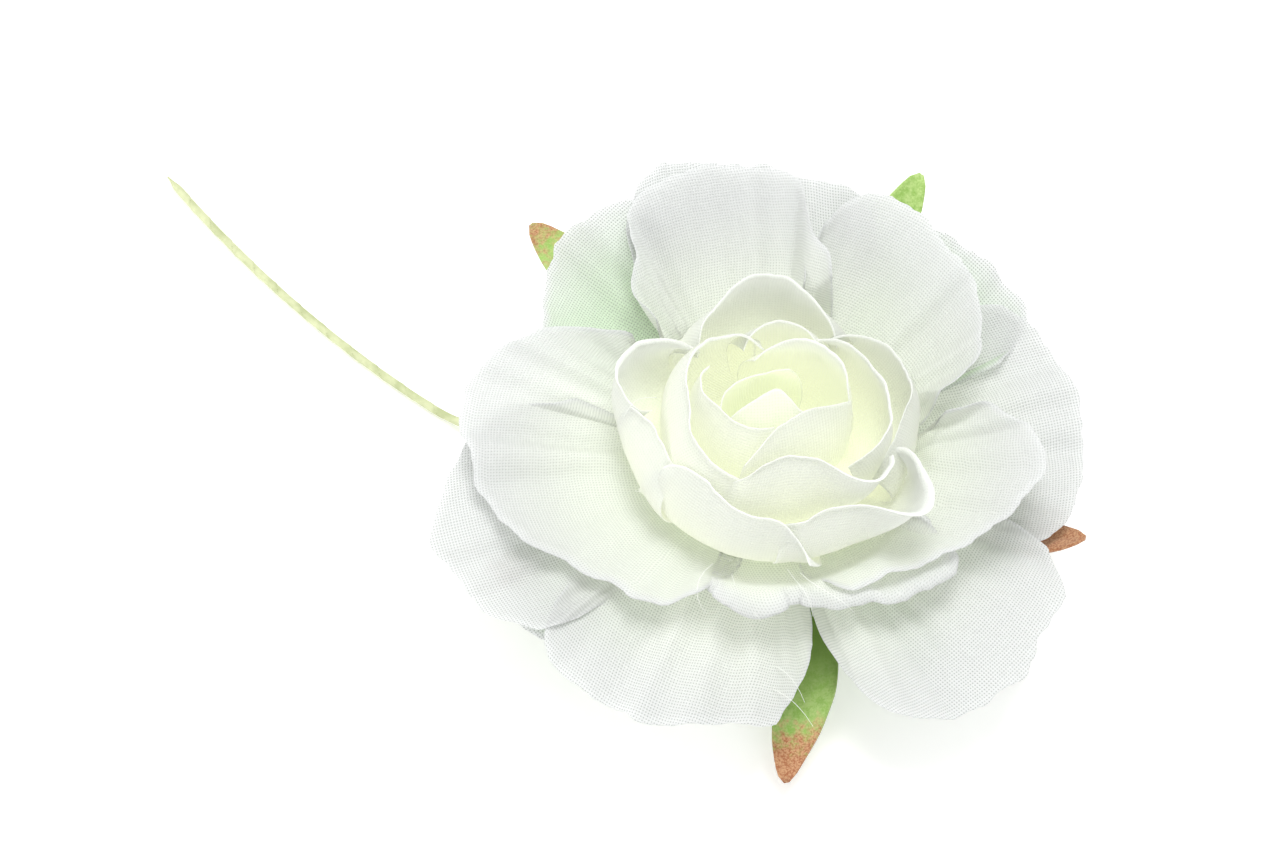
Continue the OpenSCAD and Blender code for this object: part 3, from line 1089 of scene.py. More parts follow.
# ---------------------------------------------------------------- the bloom
@dataclass
class Bloom:
    """All the petal rings, from the lowest to the bud.

    Each ring sits one step above the last. The gaps are from the collar's top to the lowest ring, and
    from there to the lowest cup.
    """

    hub_radius: float = 1.6
    step: float = 0.4
    collar_gap: float = 0.9
    cup_gap: float = 1.3

    def outer_rings(self, hub: float) -> list[PetalRing]:
        """Describe the three open rings.

        Args:
            hub: the lowest ring's height.

        Returns:
            The rings, from the lowest up.
        """
        return [
            PetalRing("petals_bottom", (self.hub_radius, hub), [
                FlatPetal([(160, 24, 18), (150, 34, 19.5), (140, 38.5, 20), (131, 42, 20.5),
                           (122, 43, 21.5), (114, 41, 22.5), (107, 32, 22)], bias=30),
                FlatPetal([(72, 28, 20), (64, 37, 20.5), (56, 40.5, 21), (48, 41.5, 21),
                           (38, 41.5, 20.5), (30, 41, 20), (22, 34, 19)]),
                FlatPetal([(14, 26, 16), (6, 34, 15.5), (-4, 36, 14.5), (-14, 36, 14),
                           (-24, 36, 13.5), (-32, 33, 13), (-38, 25, 13)]),
                FlatPetal([(-40, 26, 12.8), (-46, 34, 12), (-54, 37, 11.5), (-61, 35, 11.4),
                           (-65, 26, 12.3)]),
                FlatPetal([(186, 26, 14), (196, 36, 12.8), (208, 39, 12), (220, 38, 11.4),
                           (232, 35, 11), (240, 26, 11.6)], ruffle=0.6, folds=0.6),
            ], MINT_CLOTH, 1.0),
            PetalRing("petals_lower", (self.hub_radius, hub + self.step), [
                FlatPetal([(124, 26, 21), (120, 37, 22), (115, 42, 23), (109, 44.2, 23.5),
                           (101, 44, 24), (90, 42.8, 24), (82, 41, 24), (75, 40.3, 24),
                           (68, 39, 24), (61, 33, 23)],
                          pleats=((0.3, 0.8, 0.06), (0.55, -0.6, 0.07))),
                FlatPetal([(44, 26, 20.5), (37, 36, 20.5), (30, 40.5, 20), (22, 41.3, 19.5),
                           (11, 42.3, 18), (-3, 41.8, 16.5), (-10, 41.6, 15.8), (-16, 39.4, 15),
                           (-21, 35, 14.6), (-27, 27, 15)],
                          pleats=((0.35, 0.7, 0.05), (0.6, -0.6, 0.05))),
                FlatPetal([(-14, 22, 16), (-17, 32, 16), (-21, 38.6, 16), (-27, 42.3, 15.6),
                           (-37, 43, 14.8), (-47, 44, 14), (-57, 43.3, 13.2), (-65, 40.3, 13),
                           (-71, 34, 13), (-75, 26, 13.3), (-77, 18, 14)],
                          roll=(0.5, 0.8, 0.9, 0.7, 0.2),
                          pleats=((0.35, 0.9, 0.05), (0.5, -0.8, 0.05), (0.7, 0.7, 0.04))),
                FlatPetal([(-72, 15, 14.8), (-76, 23, 13.8), (-82, 31, 12.8), (-89, 37, 12),
                           (-97, 37.2, 12), (-107, 38.8, 12.8), (-116, 39.8, 13.4),
                           (-125, 40.3, 13.8), (-134, 40, 14.3), (-141, 36, 15), (-147, 29, 16)],
                          roll=(0.1, 0.1, 0.7, 0.8, 0.7),
                          pleats=((0.4, 0.7, 0.05), (0.62, -0.5, 0.05)), fray=(2.2, 0.0)),
                FlatPetal([(-133, 27, 15.5), (-139, 38, 14.8), (-147, 41.5, 14.5),
                           (-157, 44.3, 14.6), (-165, 45.8, 15), (-172, 43.5, 16), (-180, 41, 17.5),
                           (171, 36, 19), (165, 26, 20)],
                          pleats=((0.35, -0.8, 0.05), (0.55, 0.7, 0.06))),
            ], LOWER_CLOTH, 2.0),
            PetalRing("petals_outer", (self.hub_radius, hub + 2 * self.step), [
                FlatPetal([(136, 15, 23), (141, 22, 24), (147, 29, 23.5), (156, 36, 22.5),
                           (167, 39.3, 21.5), (178, 39.6, 20.5), (189, 37, 19.5), (199, 34.5, 18.6),
                           (212, 30.5, 18.3), (226, 27.3, 18.8), (240, 25.3, 19.6), (250, 23, 20),
                           (256, 17, 19.6)],
                          roll=(0.5, 0.7, 0.8, 0.9, 1.4, 1.6, 0.2),
                          pleats=((0.3, 0.5, 0.05), (0.62, -0.5, 0.05)), fray=(0.0, 1.2)),
                FlatPetal([(134, 16, 21.5), (129, 25, 23.5), (122, 34, 25), (116, 39.5, 25.5),
                           (109, 41.3, 26), (101, 41.3, 26.5), (92, 40.3, 27), (85, 38.8, 27.3),
                           (79, 34, 27.5), (71, 27, 27), (62, 20, 25.5)],
                          pleats=((0.45, 0.6, 0.07), (0.8, 0.9, 0.04))),
                FlatPetal([(78, 22, 24), (76, 31, 25.3), (71, 37.5, 26), (65, 39.3, 26.2),
                           (57, 38.8, 26.2), (48, 37, 26), (38, 35.8, 25.6), (29, 33, 25),
                           (19, 28, 24.3), (10, 22, 23.6), (4, 16, 22.6)],
                          pleats=((0.25, 1.0, 0.04), (0.4, -0.8, 0.04), (0.55, 0.8, 0.05))),
                FlatPetal([(6, 15, 21.8), (5, 22, 23.6), (5, 29, 24.6), (0, 33.8, 24.6),
                           (-8, 36, 24.2), (-14, 36, 23.6), (-24, 32.2, 23), (-37, 28.4, 22.4),
                           (-52, 25.4, 21.8), (-66, 23.4, 21.4), (-76, 18.5, 20.8)],
                          roll=(0.5, 0.7, 0.9, 1.0, 1.0, 0.8), pleats=((0.35, 0.6, 0.06),)),
                FlatPetal([(-28, 17, 19.6), (-32, 25, 20.2), (-38, 29.8, 20.4), (-46, 29.4, 20.2),
                           (-55, 27.6, 20), (-64, 25.2, 20), (-73, 23, 20.2), (-82, 22.4, 20.6),
                           (-90, 22.8, 21), (-98, 23.3, 21.2), (-105, 22.8, 21.2), (-111, 21, 21),
                           (-114, 17, 19.8)],
                          roll=(0.6, 1.0, 1.5, 1.5, 1.6, 2.0, 3.2, 3.9, 2.8, 0.6), turn=95,
                          ruffle=0.4, folds=0.5, pale=2.6),
            ], WHITE_CLOTH, 3.0),
        ]

    def cups(self, hub: float) -> list[PetalRing]:
        """Describe the cupped rings and the bud.

        Args:
            hub: the lowest cup's height.

        Returns:
            The rings, from the lowest up.
        """
        middle = ((18.5, hub - 0.2), (22.5, hub + 5.0))
        inner = ((14.0, hub - 0.4), (17.5, hub + 7.0))
        heart = ((10.5, hub + 0.5), (12.5, hub + 8.0))
        return [
            PetalRing("petals_middle", (self.hub_radius, hub), [
                CupPetal([(170, 16, 24.5), (176, 17.4, 26.6), (170, 19.6, 27.4), (162, 20.6, 27.6),
                          (154, 20.4, 28), (147, 18.8, 28.4), (140, 16, 28), (134, 13.5, 26.5)],
                         foot=(200, 134), belly=middle, roll=(0.4, 1.4, 1.8, 1.4, 0.8), turn=75,
                         pale=1.5),
                CupPetal([(134, 13.5, 26), (124, 15.4, 28.6), (109, 17.4, 29.4), (96, 18.6, 29.8),
                          (84, 18.8, 29.8), (72, 17.6, 29.6), (60, 15.6, 28.8), (50, 13.8, 27)],
                         foot=(140, 50), belly=middle, roll=(0.8, 1.6, 1.0)),
                CupPetal([(56, 13.6, 27.4), (46, 15.4, 28.8), (36, 17.4, 29), (24, 18.4, 29),
                          (10, 18.5, 28.6), (-2, 17.8, 28.2), (-12, 17, 27.6), (-24, 16, 26.6),
                          (-32, 15, 25)], foot=(60, -30), belly=middle, roll=(0.8, 1.4, 1.2, 0.6)),
                CupPetal([(-18, 16, 25), (-20, 18.6, 27.4), (-27, 21.4, 28.2), (-34, 23.2, 28.2),
                          (-41, 23.4, 28.2), (-48, 21, 28.4), (-56, 18.4, 28.6), (-66, 17.1, 28.4),
                          (-76, 17.2, 27.6), (-86, 16.4, 25.6)],
                         foot=(-18, -92), belly=middle, roll=(0.8, 2.0, 3.0, 1.8, 1.4, 1.2),
                         turn=80, pale=1.6),
                CupPetal([(-77, 20.9, 23.3), (-79, 19.4, 25.2), (-83, 17.4, 27), (-89, 16.2, 28),
                          (-98, 16.1, 28.3), (-108, 15.9, 28.3), (-119, 14.8, 28.4),
                          (-130, 13.8, 28.5), (-142, 14.2, 28), (-150, 15.3, 26.6),
                          (-154, 16.4, 24.4)],
                         foot=(-62, -158), belly=((18.2, hub - 0.2), (21.6, hub + 3.2)),
                         roll=(0.1, 0.4, 1.0, 1.4, 0.8, 0.4), turn=50, fray=(0.0, 0.8)),
                CupPetal([(212, 14.6, 25), (204, 14.8, 26.4), (196, 14.9, 26.8), (187, 15.4, 26.8),
                          (181, 17, 26.8), (176, 18.4, 26.6)],
                         foot=(232, 182), belly=middle, roll=(0.6, 1.4, 1.6), turn=70),
            ], CREAM_CLOTH, 4.0),
            PetalRing("petals_inner", (self.hub_radius, hub + 1.2 * self.step), [
                CupPetal([(96, 8, 30.4), (108, 9.6, 31.8), (120, 10.8, 32.2), (134, 11.8, 32.2),
                          (147, 11.8, 31.9), (160, 11.3, 31.4), (173, 10.8, 31), (186, 10.8, 30.6),
                          (200, 11.4, 30.2), (214, 12, 30), (228, 12.4, 29.8), (240, 12.4, 29.4),
                          (250, 12, 28.4)],
                         foot=(96, 250), belly=inner, roll=(0.8, 1.2, 1.6, 2.2, 2.8, 2.8, 1.2),
                         turn=65, pale=1.6),
                CupPetal([(244, 12.6, 28.4), (254, 12, 29.8), (264, 10.6, 30.8), (276, 9.7, 31.2),
                          (290, 9.9, 31.3), (300, 11, 31.2), (307, 13.2, 31), (312, 15.8, 30.8),
                          (318, 17.4, 30.6), (326, 17.6, 30.2), (333, 17, 29)],
                         foot=(240, 330), belly=inner, roll=(0.4, 1.2, 1.4, 1.4, 1.8, 1.6), turn=75),
                CupPetal([(-42, 13.4, 28.6), (-34, 14.2, 30), (-22, 15, 30.8), (-8, 15.4, 31.2),
                          (8, 15, 31.4), (24, 13.6, 31.6), (40, 12, 31.6), (54, 10.6, 31)],
                         foot=(-46, 54), belly=inner, roll=(0.8, 1.4, 1.4, 0.8), turn=60),
                CupPetal([(48, 10.4, 30.4), (62, 11.4, 31.6), (78, 11.8, 32), (92, 11.4, 31.9),
                          (104, 10.2, 31.2), (112, 8.8, 30)],
                         foot=(46, 114), belly=inner, roll=(0.6, 1.2, 0.8), turn=50),
            ], CREAM_CLOTH, 5.0),
            PetalRing("petals_heart", (self.hub_radius, hub + 2.5 * self.step), [
                CupPetal([(-3, 10.9, 31.2), (-9, 10, 32.2), (-18, 8.2, 32.8), (-32, 6, 33),
                          (-52, 5.1, 33), (-74, 5.4, 32.8), (-92, 6.6, 32.4), (-103, 8.6, 31.6),
                          (-110, 10.4, 30.2)],
                         foot=(-36, -118), belly=heart, roll=(0.2, 0.8, 1.0, 0.6), turn=50,
                         lean=0.4),
                CupPetal([(-1, 10.6, 30.8), (8, 10, 32.2), (24, 9.5, 32.9), (43, 9.2, 33.2),
                          (61, 8.8, 33.3), (78, 7.8, 33.2), (96, 6.6, 32.8), (112, 6, 32)],
                         foot=(-12, 116), belly=heart, roll=(0.6, 1.4, 1.2, 0.6), turn=60),
                CupPetal([(150, 9, 31.4), (164, 9, 32), (180, 8.3, 32.2), (196, 7.4, 32.3),
                          (212, 6.9, 32.3), (232, 6.4, 32.2), (256, 5.6, 32), (276, 5, 31.6)],
                         foot=(150, 272), belly=heart, roll=(0.8, 1.6, 1.0, 0.4), turn=60),
            ], CREAM_CLOTH, 6.0),
            PetalRing("bud_wrap", (self.hub_radius, hub + 3.8 * self.step), [
                CupPetal([(200, 6.9, 32.4), (186, 5.8, 33), (172, 4.4, 33.4), (145, 3, 33.5),
                          (108, 2.4, 33.4), (75, 3.2, 33), (56, 4.6, 32.2)],
                         foot=(220, 40), belly=((6.6, hub + 3.0), (7.6, hub + 10.0)),
                         roll=(0.3, 0.7, 0.3), turn=40, crumple=0.12, ruffle=0.2, lean=0.2),
                CupPetal([(215, 6.4, 32.2), (216, 4.8, 32.9), (222, 2.8, 33.5), (320, 0.8, 34),
                          (325, 2.6, 33.6), (321, 4.6, 32.9), (330, 6, 32)],
                         foot=(212, 338), belly=((7.0, hub + 2.0), (8.4, hub + 11.5)),
                         roll=(0.2, 0.3, 0.2), turn=30, crumple=0.1, ruffle=0.1, lean=0.0),
            ], CREAM_CLOTH, 7.0),
        ]

    def build(self) -> None:
        """Make every ring."""
        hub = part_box("calyx_collar")[1].z / MM + self.collar_gap
        cloths = (MINT_CLOTH, LOWER_CLOTH, WHITE_CLOTH, CREAM_CLOTH)
        finishes = {cloth.name: cloth.build() for cloth in cloths}
        for ring in self.outer_rings(hub) + self.cups(hub + self.cup_gap):
            ring.build(finishes[ring.cloth.name])
        self.loose_threads(finishes[CREAM_CLOTH.name])

    def loose_threads(self, material: bpy.types.Material) -> None:
        """Pull a few long threads out of the cut edges.

        Args:
            material: the cloth's finish.
        """
        routes = [((-80, 21, 22), (-76, 24, 22), (-70, 25, 21.5), (-68, 28, 21)),
                  ((-84, 20, 21.5), (-82, 23, 22.5), (-78, 24, 22), (-79, 27, 21)),
                  ((-104, 21, 21), (-101, 24, 21.5), (-97, 25, 21), (-93, 27, 20.5)),
                  ((-89, 30, 14), (-86, 31, 14.5), (-84, 33, 14), (-83, 35, 13)),
                  ((-90, 33, 13.5), (-87, 34, 14), (-84, 35, 12.5), (-82, 38, 12)),
                  ((168, 15, 26.5), (172, 18, 28), (177, 18, 28.2), (181, 19, 27.4)),
                  ((-112, 20, 20.6), (-116, 23, 21), (-113, 26, 20.4), (-108, 27, 20.2))]
        threads = [Thread([polar(*point) for point in route], 0.05) for route in routes]
        piece = thread_mesh("loose_threads", threads, material)
        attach(piece, "bloom")
        LOG.info("%s: %d threads", piece.name, len(threads))


# ---------------------------------------------------------------- sepals
@dataclass(frozen=True)
class SepalArm:
    """One sepal: direction, length, rise of the tip, sideways bow, tip curl, twist and rust share."""

    direction: float
    length: float
    rise: float
    bow: float
    curl: float
    twist: float
    rust: float


@dataclass
class Sepals:
    """The calyx star of flocked paper; outline gives a sepal's half width by share of its length."""

    width: float = 8.0
    disc: float = 6.0
    hole: float = 1.25
    root: float = 3.0
    sag: float = 1.5
    seat: float = 15.1
    thickness: float = 0.4
    outline: Sequence[tuple[float, float]] = (
        (0, 2.2), (0.1, 1.7), (0.25, 1.8), (0.42, 2.7), (0.58, 3.8), (0.71, 4.25), (0.83, 3.6),
        (0.92, 2.4), (0.98, 1.2), (1.0, 0.35))
    arms: Sequence[SepalArm] = (
        SepalArm(-87, 41.5, -10.0, 4.2, -2.0, 0.2, 0.95),
        SepalArm(-15.5, 43.4, -3.0, 0.0, 3.0, -0.2, 1.5),
        SepalArm(62.5, 48.6, 5.0, 1.6, 1.5, 0.25, 0.1),
        SepalArm(131, 49, 4.6, -1.0, -1.5, -0.2, 0.68),
        SepalArm(205, 40, -3.0, 1.0, 1.0, 0.1, 0.9),
    )

    def arm(self, item: SepalArm, z: float, seed: float) -> Sheet:
        """Shape one sepal as a leaf folded along its rib.

        Args:
            item: the sepal's sizes.
            z: the height of its root.
            seed: picks its ripples.

        Returns:
            The grid, its flat coordinates and its masks.
        """
        rows, columns = 44, 15
        t = np.linspace(0, 1, rows)
        outline = smooth_curve(self.outline, 200)
        half = np.interp(t, outline[:, 0], outline[:, 1]) * self.width / 8.5
        out = self.root + (item.length - self.root) * t
        side = item.bow * np.sin(math.pi * t) ** 1.2
        climb = t ** 3 if item.rise > 0 else 0.4 * ease(t) + 0.6 * t
        height = z + item.rise * climb - self.sag * np.sin(math.pi * t)
        height = height + item.curl * np.clip((t - 0.75) / 0.25, 0, 1) ** 2
        w = np.linspace(-1, 1, columns)
        across = half[:, None] * w[None, :]
        fold = 0.2 * np.abs(across) * ease(t / 0.25)[:, None]
        roll = item.twist * across * t[:, None] * 1.4
        x = out[:, None] + 0 * across
        y = side[:, None] + across
        lift = height[:, None] + fold + roll
        grid = np.stack([x, y, lift], axis=-1)
        vein = 0.12 * np.sin((x * 0.9 + np.abs(across) * 0.9) * 1.6) * ease(t / 0.3)[:, None]
        ripple = 0.35 * wobble(grid, 6.0, seed) * t[:, None]
        grid[..., 2] += vein * np.minimum(1, np.abs(across)) + ripple
        a = math.radians(item.direction)
        placed = np.stack([grid[..., 0] * math.cos(a) - grid[..., 1] * math.sin(a),
                           grid[..., 0] * math.sin(a) + grid[..., 1] * math.cos(a),
                           grid[..., 2]], axis=-1)
        stain = np.clip((t - 0.66) / 0.34, 0, 1)[:, None] * item.rust + 0 * across
        return Sheet(placed, np.stack([x, across], axis=-1), {"reach": x, "stain": stain})

    def disc_sheet(self, z: float) -> Sheet:
        """Shape the middle of the star, from the punched hole outwards.

        Args:
            z: the disc's height.

        Returns:
            The grid, its flat coordinates and its masks.
        """
        rings, columns = 48, 8
        angle = np.linspace(0, 2 * math.pi, rings)[:, None]
        r = np.linspace(self.hole, self.disc, columns)[None, :]
        points = turned(r, z + 0.02 * np.sin(5 * angle) * r - 0.04, angle)
        return Sheet(points, points[..., :2], {"reach": r + 0 * angle, "stain": 0 * (r + angle)})

    def build(self) -> None:
        """Make the star."""
        low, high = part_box("sepals")
        sheets = [self.arm(item, self.seat, 40.0 + k) for k, item in enumerate(self.arms)]
        sheets.append(self.disc_sheet(self.seat))
        area = sum(cut_area(sheet) for sheet in sheets)
        paper = FlockedPaper()
        piece = mesh_from_sheets("sepal_star", sheets, self.thickness, paper.build())
        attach(piece, "bloom")
        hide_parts("sepals")
        LOG.info("%s: %d arms, %.0f mm2, packed height %.1f mm", piece.name, len(self.arms), area,
                 (high.z - low.z) / MM)


# ---------------------------------------------------------------- stem
@dataclass
class Stem:
    """The paper-wrapped wire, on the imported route."""

    radius: float = 0.65
    bend: float = 2.0
    bend_z: float = 12.3
    low: float = 0.67
    high: float = 10.3
    drop_from: float = 18.0
    drop_to: float = 50.0
    tape_pitch: float = 5.2
    wisp: float = 3.0
    root_z: float = 14.2
    lap_height: float = 0.055
    lap_sink: float = 0.095
    plan: Sequence[tuple[float, float]] = ((-2, 0), (-30, 0), (-63, 28), (-85, 56))

    def route(self) -> np.ndarray:
        """Lay the stem's route, from the collar to the far tip.

        Returns:
            The points in millimetres.
        """
        points = [np.array([0, 0, self.root_z]), np.array([0, 0, self.bend_z + 1])]
        for step in range(0, 91, 15):
            a = math.radians(step)
            points.append(np.array([self.bend * (math.cos(a) - 1), 0,
                                    self.bend_z - self.bend * math.sin(a)]))
        run = bezier([np.array(p, float) for p in self.plan], np.linspace(0, 1, 41)[1:, None])
        for x, y in run:
            share = (math.hypot(x, y) - self.drop_from) / (self.drop_to - self.drop_from)
            points.append(np.array([x, y, self.low + (self.high - self.low) * (1 - ease(share))]))
        return np.array(points)

    def build(self) -> None:
        """Make the wound tape, with a ridge where each turn laps the last."""
        route = self.route()
        wisp = route[-1] + unit(route[-1] - route[-2] + np.array([0, 0, 0.02])) * self.wisp
        line = smooth_curve(np.vstack([route, wisp]), 520)
        run = run_lengths(line)
        sides = 20
        angle = np.linspace(0, 2 * math.pi, sides + 1)[None, :]
        lap = (run[:, None] / self.tape_pitch + angle / (2 * math.pi)) % 1.0
        ridge = self.lap_height * np.exp(-(lap / 0.10) ** 2) + 0.03 * (1 - lap)
        taper = 1 - 0.72 * ease((run[:, None] - run[-1] + self.wisp) / self.wisp)
        lump = 0.03 * wobble(line[:, None, :] + 0 * angle[..., None], 2.5, 9.0)
        radius = (self.radius - self.lap_sink + ridge + lump) * taper
        points = swept_tube(line, radius, angle, nudge=1e-6)
        flat = np.stack([run[:, None] + 0 * angle, angle * self.radius + 0 * run[:, None]], axis=-1)
        seam = np.exp(-(lap / 0.08) ** 2)
        tape = CrepePaper()
        sheet = Sheet(points, flat, {"seam": seam})
        piece = mesh_from_sheets("wound_stem_tape", [sheet], 0, tape.build())
        close_tube_ends(piece)
        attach(piece, "bloom")
        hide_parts("stem_wrap")
        LOG.info("%s: %.0f mm long", piece.name, run[-1])


def close_tube_ends(piece: bpy.types.Object) -> None:
    """Weld a tube's seam and close both of its ends.

    Args:
        piece: the tube to close.
    """
    work = bmesh.new()
    work.from_mesh(piece.data)
    bmesh.ops.remove_doubles(work, verts=work.verts, dist=1e-6)
    bmesh.ops.holes_fill(work, edges=[e for e in work.edges if e.is_boundary], sides=0)
    bmesh.ops.recalc_face_normals(work, faces=work.faces)
    work.to_mesh(piece.data)
    work.free()


# ---------------------------------------------------------------- backing
@dataclass
class Backing:
    """Felt disc and the glue bead that holds the calyx to it."""

    felt_edge: float = 0.5
    fibre_count: int = 260

    def felt(self) -> None:
        """The felt disc, with soft edges and stray fibres."""
        low, high = (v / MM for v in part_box("felt_pad"))
        radius = (high.x - low.x) / 2
        edge = self.felt_edge
        middle, half = (high.z + low.z) / 2, (high.z - low.z) / 2
        rows = [(r, high.z) for r in np.linspace(0.0, radius - edge, 22)]
        for a in np.linspace(0, math.pi, 9)[1:-1]:
            rows.append((radius - edge + edge * math.sin(a), middle + half * math.cos(a)))
        rows += [(r, low.z) for r in np.linspace(radius - edge, 0.0, 22)]
        turns = 120
        angle = np.linspace(0, 2 * math.pi, turns + 1)[:, None]
        r = np.array([p[0] for p in rows])[None, :]
        z = np.array([p[1] for p in rows])[None, :]
        points = turned(r, z, angle)
        bumps = 0.05 * wobble(points, 1.6, 12.0) + 0.07 * wobble(points, 5.0, 13.0)
        points[..., 2] += np.sign(points[..., 2] - middle) * (bumps - 0.08)
        points[..., :2] *= (1 + 0.006 * wobble(points, 3.0, 14.0))[..., None] - 0.004
        material = WoolFelt().build()
        piece = mesh_from_sheets("felt_disc", [Sheet(points, points[..., :2])], 0, material)
        close_tube_ends(piece)
        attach(piece, "bloom")
        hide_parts("felt_pad")
        self.fibres(radius, middle, material)

    def fibres(self, radius: float, z: float, material: bpy.types.Material) -> None:
        """Stand short fibres out of the felt's edge.

        Args:
            radius: the disc's radius.
            z: the height of its middle.
            material: the felt's finish.
        """
        chance = random.Random(5)
        threads = []
        for _ in range(self.fibre_count):
            a = chance.uniform(0, 360)
            base = polar(a, radius - 0.2, z + chance.uniform(-0.5, 0.5))
            side = a + chance.uniform(-4, 4)
            tip = polar(side, radius + chance.uniform(0.2, 0.9), z + chance.uniform(-0.7, 0.8))
            bend = (base + tip) / 2 + np.array([chance.uniform(-0.3, 0.3) for _ in range(3)])
            threads.append(Thread([base, (base + bend) / 2, bend, tip], 0.025))
        piece = thread_mesh("felt_fibres", threads, material)
        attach(piece, "bloom")
        LOG.info("%s: %d fibres", piece.name, len(threads))

    def bead(self) -> None:
        """The lumpy bead of set glue."""
        low, high = (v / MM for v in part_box("glue_bead"))
        radius = (high.x - low.x) / 2
        profile = smooth_curve([(0.3, low.z + 0.02), (radius - 1.5, low.z + 0.02),
                                (radius, low.z + 0.45), (radius - 0.3, low.z + 1.3),
                                (radius - 1.3, high.z - 0.6), (radius - 2.4, high.z - 0.05),
                                (0.3, high.z)], 40)
        angle = np.linspace(0, 2 * math.pi, 97)[:, None]
        lobe = 1 + 0.05 * np.sin(3 * angle + 0.6) + 0.03 * np.sin(7 * angle)
        r = profile[:, 0][None, :] * lobe
        points = turned(r, profile[:, 1][None, :], angle)
        swell = 0.22 * wobble(points, 2.6, 21.0)
        points[..., :2] *= (1 + swell / radius)[..., None]
        glue = HotMelt()
        piece = mesh_from_sheets("set_glue", [Sheet(points, points[..., :2])], 0, glue.build())
        close_tube_ends(piece)
        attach(piece, "bloom")
        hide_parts("glue_bead")

    def build(self) -> None:
        """Make both."""
        self.felt()
        self.bead()


# ---------------------------------------------------------------- clip
@dataclass
class ClipWorks:
    """The clip's metal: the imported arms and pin, and a wound spring."""

    pivot_x: float = 6.0
    pivot_z: float = 4.2
    wire: float = 0.3
    coil: float = 1.45
    leg_side: float = 2.1
    leg: float = 9.8
    turns: float = 6.5
    strip: float = 0.8
    slack: float = 0.1
    twist_zone: float = 1.3

    def spring_route(self) -> np.ndarray:
        """Lay the spring's wire: leg, coil and leg.

        Returns:
            Points along the wire in millimetres.
        """
        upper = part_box("clip_upper_arm")[1].z / MM - self.strip - self.slack - self.wire
        top, bottom = self.pivot_z + self.coil, self.pivot_z - self.coil
        lower = self.strip + self.slack + self.wire
        end, half_way, start = (self.pivot_x + out for out in (self.leg, self.leg * 0.5, self.strip))
        rows = [(end, self.leg_side, upper), (half_way, self.leg_side, (upper + top) / 2),
                (start, self.leg_side, top + self.slack)]
        steps = int(self.turns * 20)
        for k in range(steps + 1):
            share = k / steps
            a = math.pi / 2 + 2 * math.pi * self.turns * share
            rows.append((self.pivot_x + self.coil * math.cos(a), self.leg_side * (1 - 2 * share),
                         self.pivot_z + self.coil * math.sin(a)))
        rows += [(start, -self.leg_side, bottom - self.slack),
                 (half_way, -self.leg_side, (lower + bottom) / 2), (end, -self.leg_side, lower)]
        return np.array(rows, float)

    def spring(self) -> None:
        """Sweep the spring's wire."""
        line = smooth_curve(self.spring_route(), 620)
        points = swept_tube(line, self.wire, np.linspace(0, 2 * math.pi, 11)[None, :])
        flat = np.zeros(points.shape[:2] + (2,))
        piece = mesh_from_sheets("wound_spring", [Sheet(points, flat)], 0, SPRING_WIRE.build())
        close_tube_ends(piece)
        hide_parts("torsion_spring")
        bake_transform(piece)
        LOG.info("%s: %.1f turns", piece.name, self.turns)

    def dress(self) -> None:
        """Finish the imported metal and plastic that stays."""
        nickel = NICKEL.build()
        finishes = {"clip_lower_arm": nickel, "clip_upper_arm": nickel, "pivot_pin": nickel,
                    "stem_wire": STEM_WIRE.build(), "calyx_collar": CALYX_GREEN.build(),
                    "bud_core": CORE_GREEN.build()}
        for name, material in finishes.items():
            item = bpy.data.objects[name]
            item.data.materials.clear()
            item.data.materials.append(material)
            LOG.info("%s: finished with %s", name, material.name)

    def build(self) -> None:
        """Make the spring and finish the rest."""
        self.dress()
        self.spring()


# ---------------------------------------------------------------- the stage
@dataclass(frozen=True)
class SoftLight:
    """A square area light: its place and size in millimetres, and its power in watts."""

    name: str
    place: Triple
    size: float
    power: float


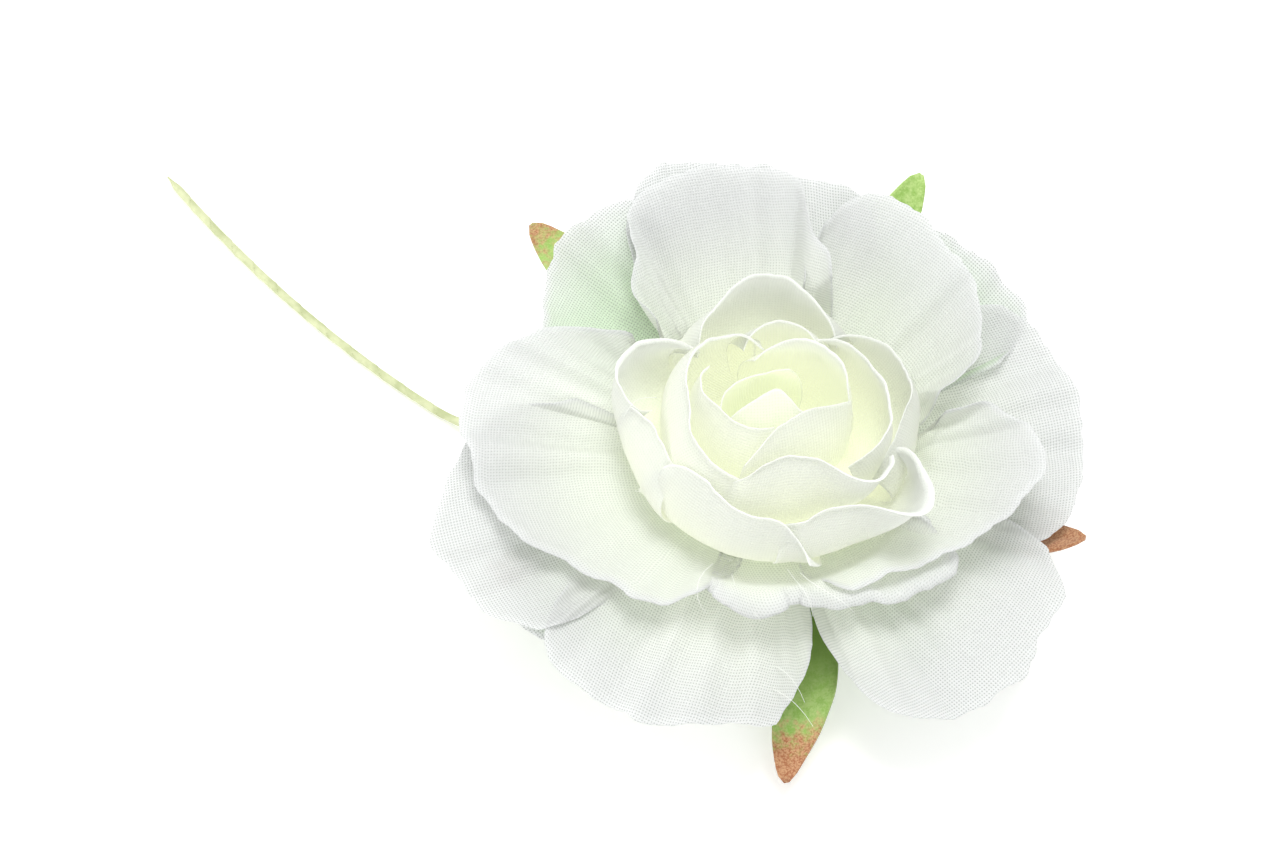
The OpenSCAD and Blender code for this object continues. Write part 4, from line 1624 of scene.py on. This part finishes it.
@dataclass
class Stage:
    """Floor, soft light and the camera; lengths are in millimetres."""

    elevation: float = 58.0
    lens: float = 85.0
    distance: float = 425.7
    look_at: Triple = (-16.9, 15.2, 0.0)
    sky: float = 0.735
    floor_half: float = 4000.0
    floor_gap: float = 0.1
    aim: Triple = (0, 0, 20)
    lights: Sequence[SoftLight] = (
        SoftLight("key_light", (40, 120, 480), 240, 1.5),
        SoftLight("front_light", (60, -380, 220), 300, 0.32),
        SoftLight("left_light", (-360, -40, 100), 240, 0.5),
    )

    def build(self) -> None:
        """Make the floor, lights and camera."""
        self.floor()
        for item in self.lights:
            self.hang(item)
        world = bpy.data.worlds.new("studio")
        world.use_nodes = True
        sky = world.node_tree.nodes["Background"]
        sky.inputs["Color"].default_value = (1.0, 1.0, 1.0, 1.0)
        sky.inputs["Strength"].default_value = self.sky
        bpy.context.scene.world = world
        bpy.context.scene.view_settings.view_transform = "Standard"
        self.camera()

    def floor(self) -> None:
        """A plain pale floor just under the object."""
        g = Graph("floor_white")
        soft = g.grain(g.object_place(), 0.02)
        paint = g.node("ShaderNodeBsdfPrincipled",
                       sockets={"Base Color": g.blend(soft, rgb(0.985, 0.985, 0.985), rgb(1, 1, 1)),
                                "Roughness": 0.9, "Specular IOR Level": 0.1,
                                "Emission Color": rgb(1, 1, 1), "Emission Strength": 0.2})
        size = self.floor_half * MM
        mesh = bpy.data.meshes.new("floor")
        mesh.from_pydata([(-size, -size, 0), (size, -size, 0), (size, size, 0), (-size, size, 0)],
                         [], [(0, 1, 2, 3)])
        floor = bpy.data.objects.new("floor", mesh)
        floor.location.z = CAD_BOX[0].z - self.floor_gap * MM
        bpy.context.collection.objects.link(floor)
        mesh.materials.append(g.finish(paint))

    def hang(self, item: SoftLight) -> None:
        """Hang one light so that it faces the bloom.

        Args:
            item: the light.
        """
        data = bpy.data.lights.new(item.name, "AREA")
        data.shape = "SQUARE"
        data.size = item.size * MM
        data.energy = item.power
        lamp = bpy.data.objects.new(item.name, data)
        lamp.location = Vector(item.place) * MM
        aim = Vector(self.aim) * MM - lamp.location
        lamp.rotation_euler = aim.to_track_quat("-Z", "Y").to_euler()
        bpy.context.collection.objects.link(lamp)

    def camera(self) -> None:
        """The main camera, looking down along +Y."""
        data = bpy.data.cameras.new("camera")
        data.lens = self.lens
        data.sensor_width = 36.0
        data.clip_start = 0.01
        eye = bpy.data.objects.new("camera", data)
        tilt = math.radians(self.elevation)
        target = Vector(self.look_at) * MM
        back = Vector((0, -math.cos(tilt), math.sin(tilt)))
        eye.location = target + back * (self.distance * MM)
        eye.rotation_euler = (-back).to_track_quat("-Z", "Y").to_euler()
        bpy.context.collection.objects.link(eye)
        bpy.context.scene.camera = eye


def main() -> None:
    """Build the scene in order."""
    logging.basicConfig(level=logging.INFO, format="%(name)s: %(message)s")
    Stage().build()
    ClipWorks().build()
    Backing().build()
    Stem().build()
    Sepals().build()
    Bloom().build()


if __name__ == "__main__":
    main()
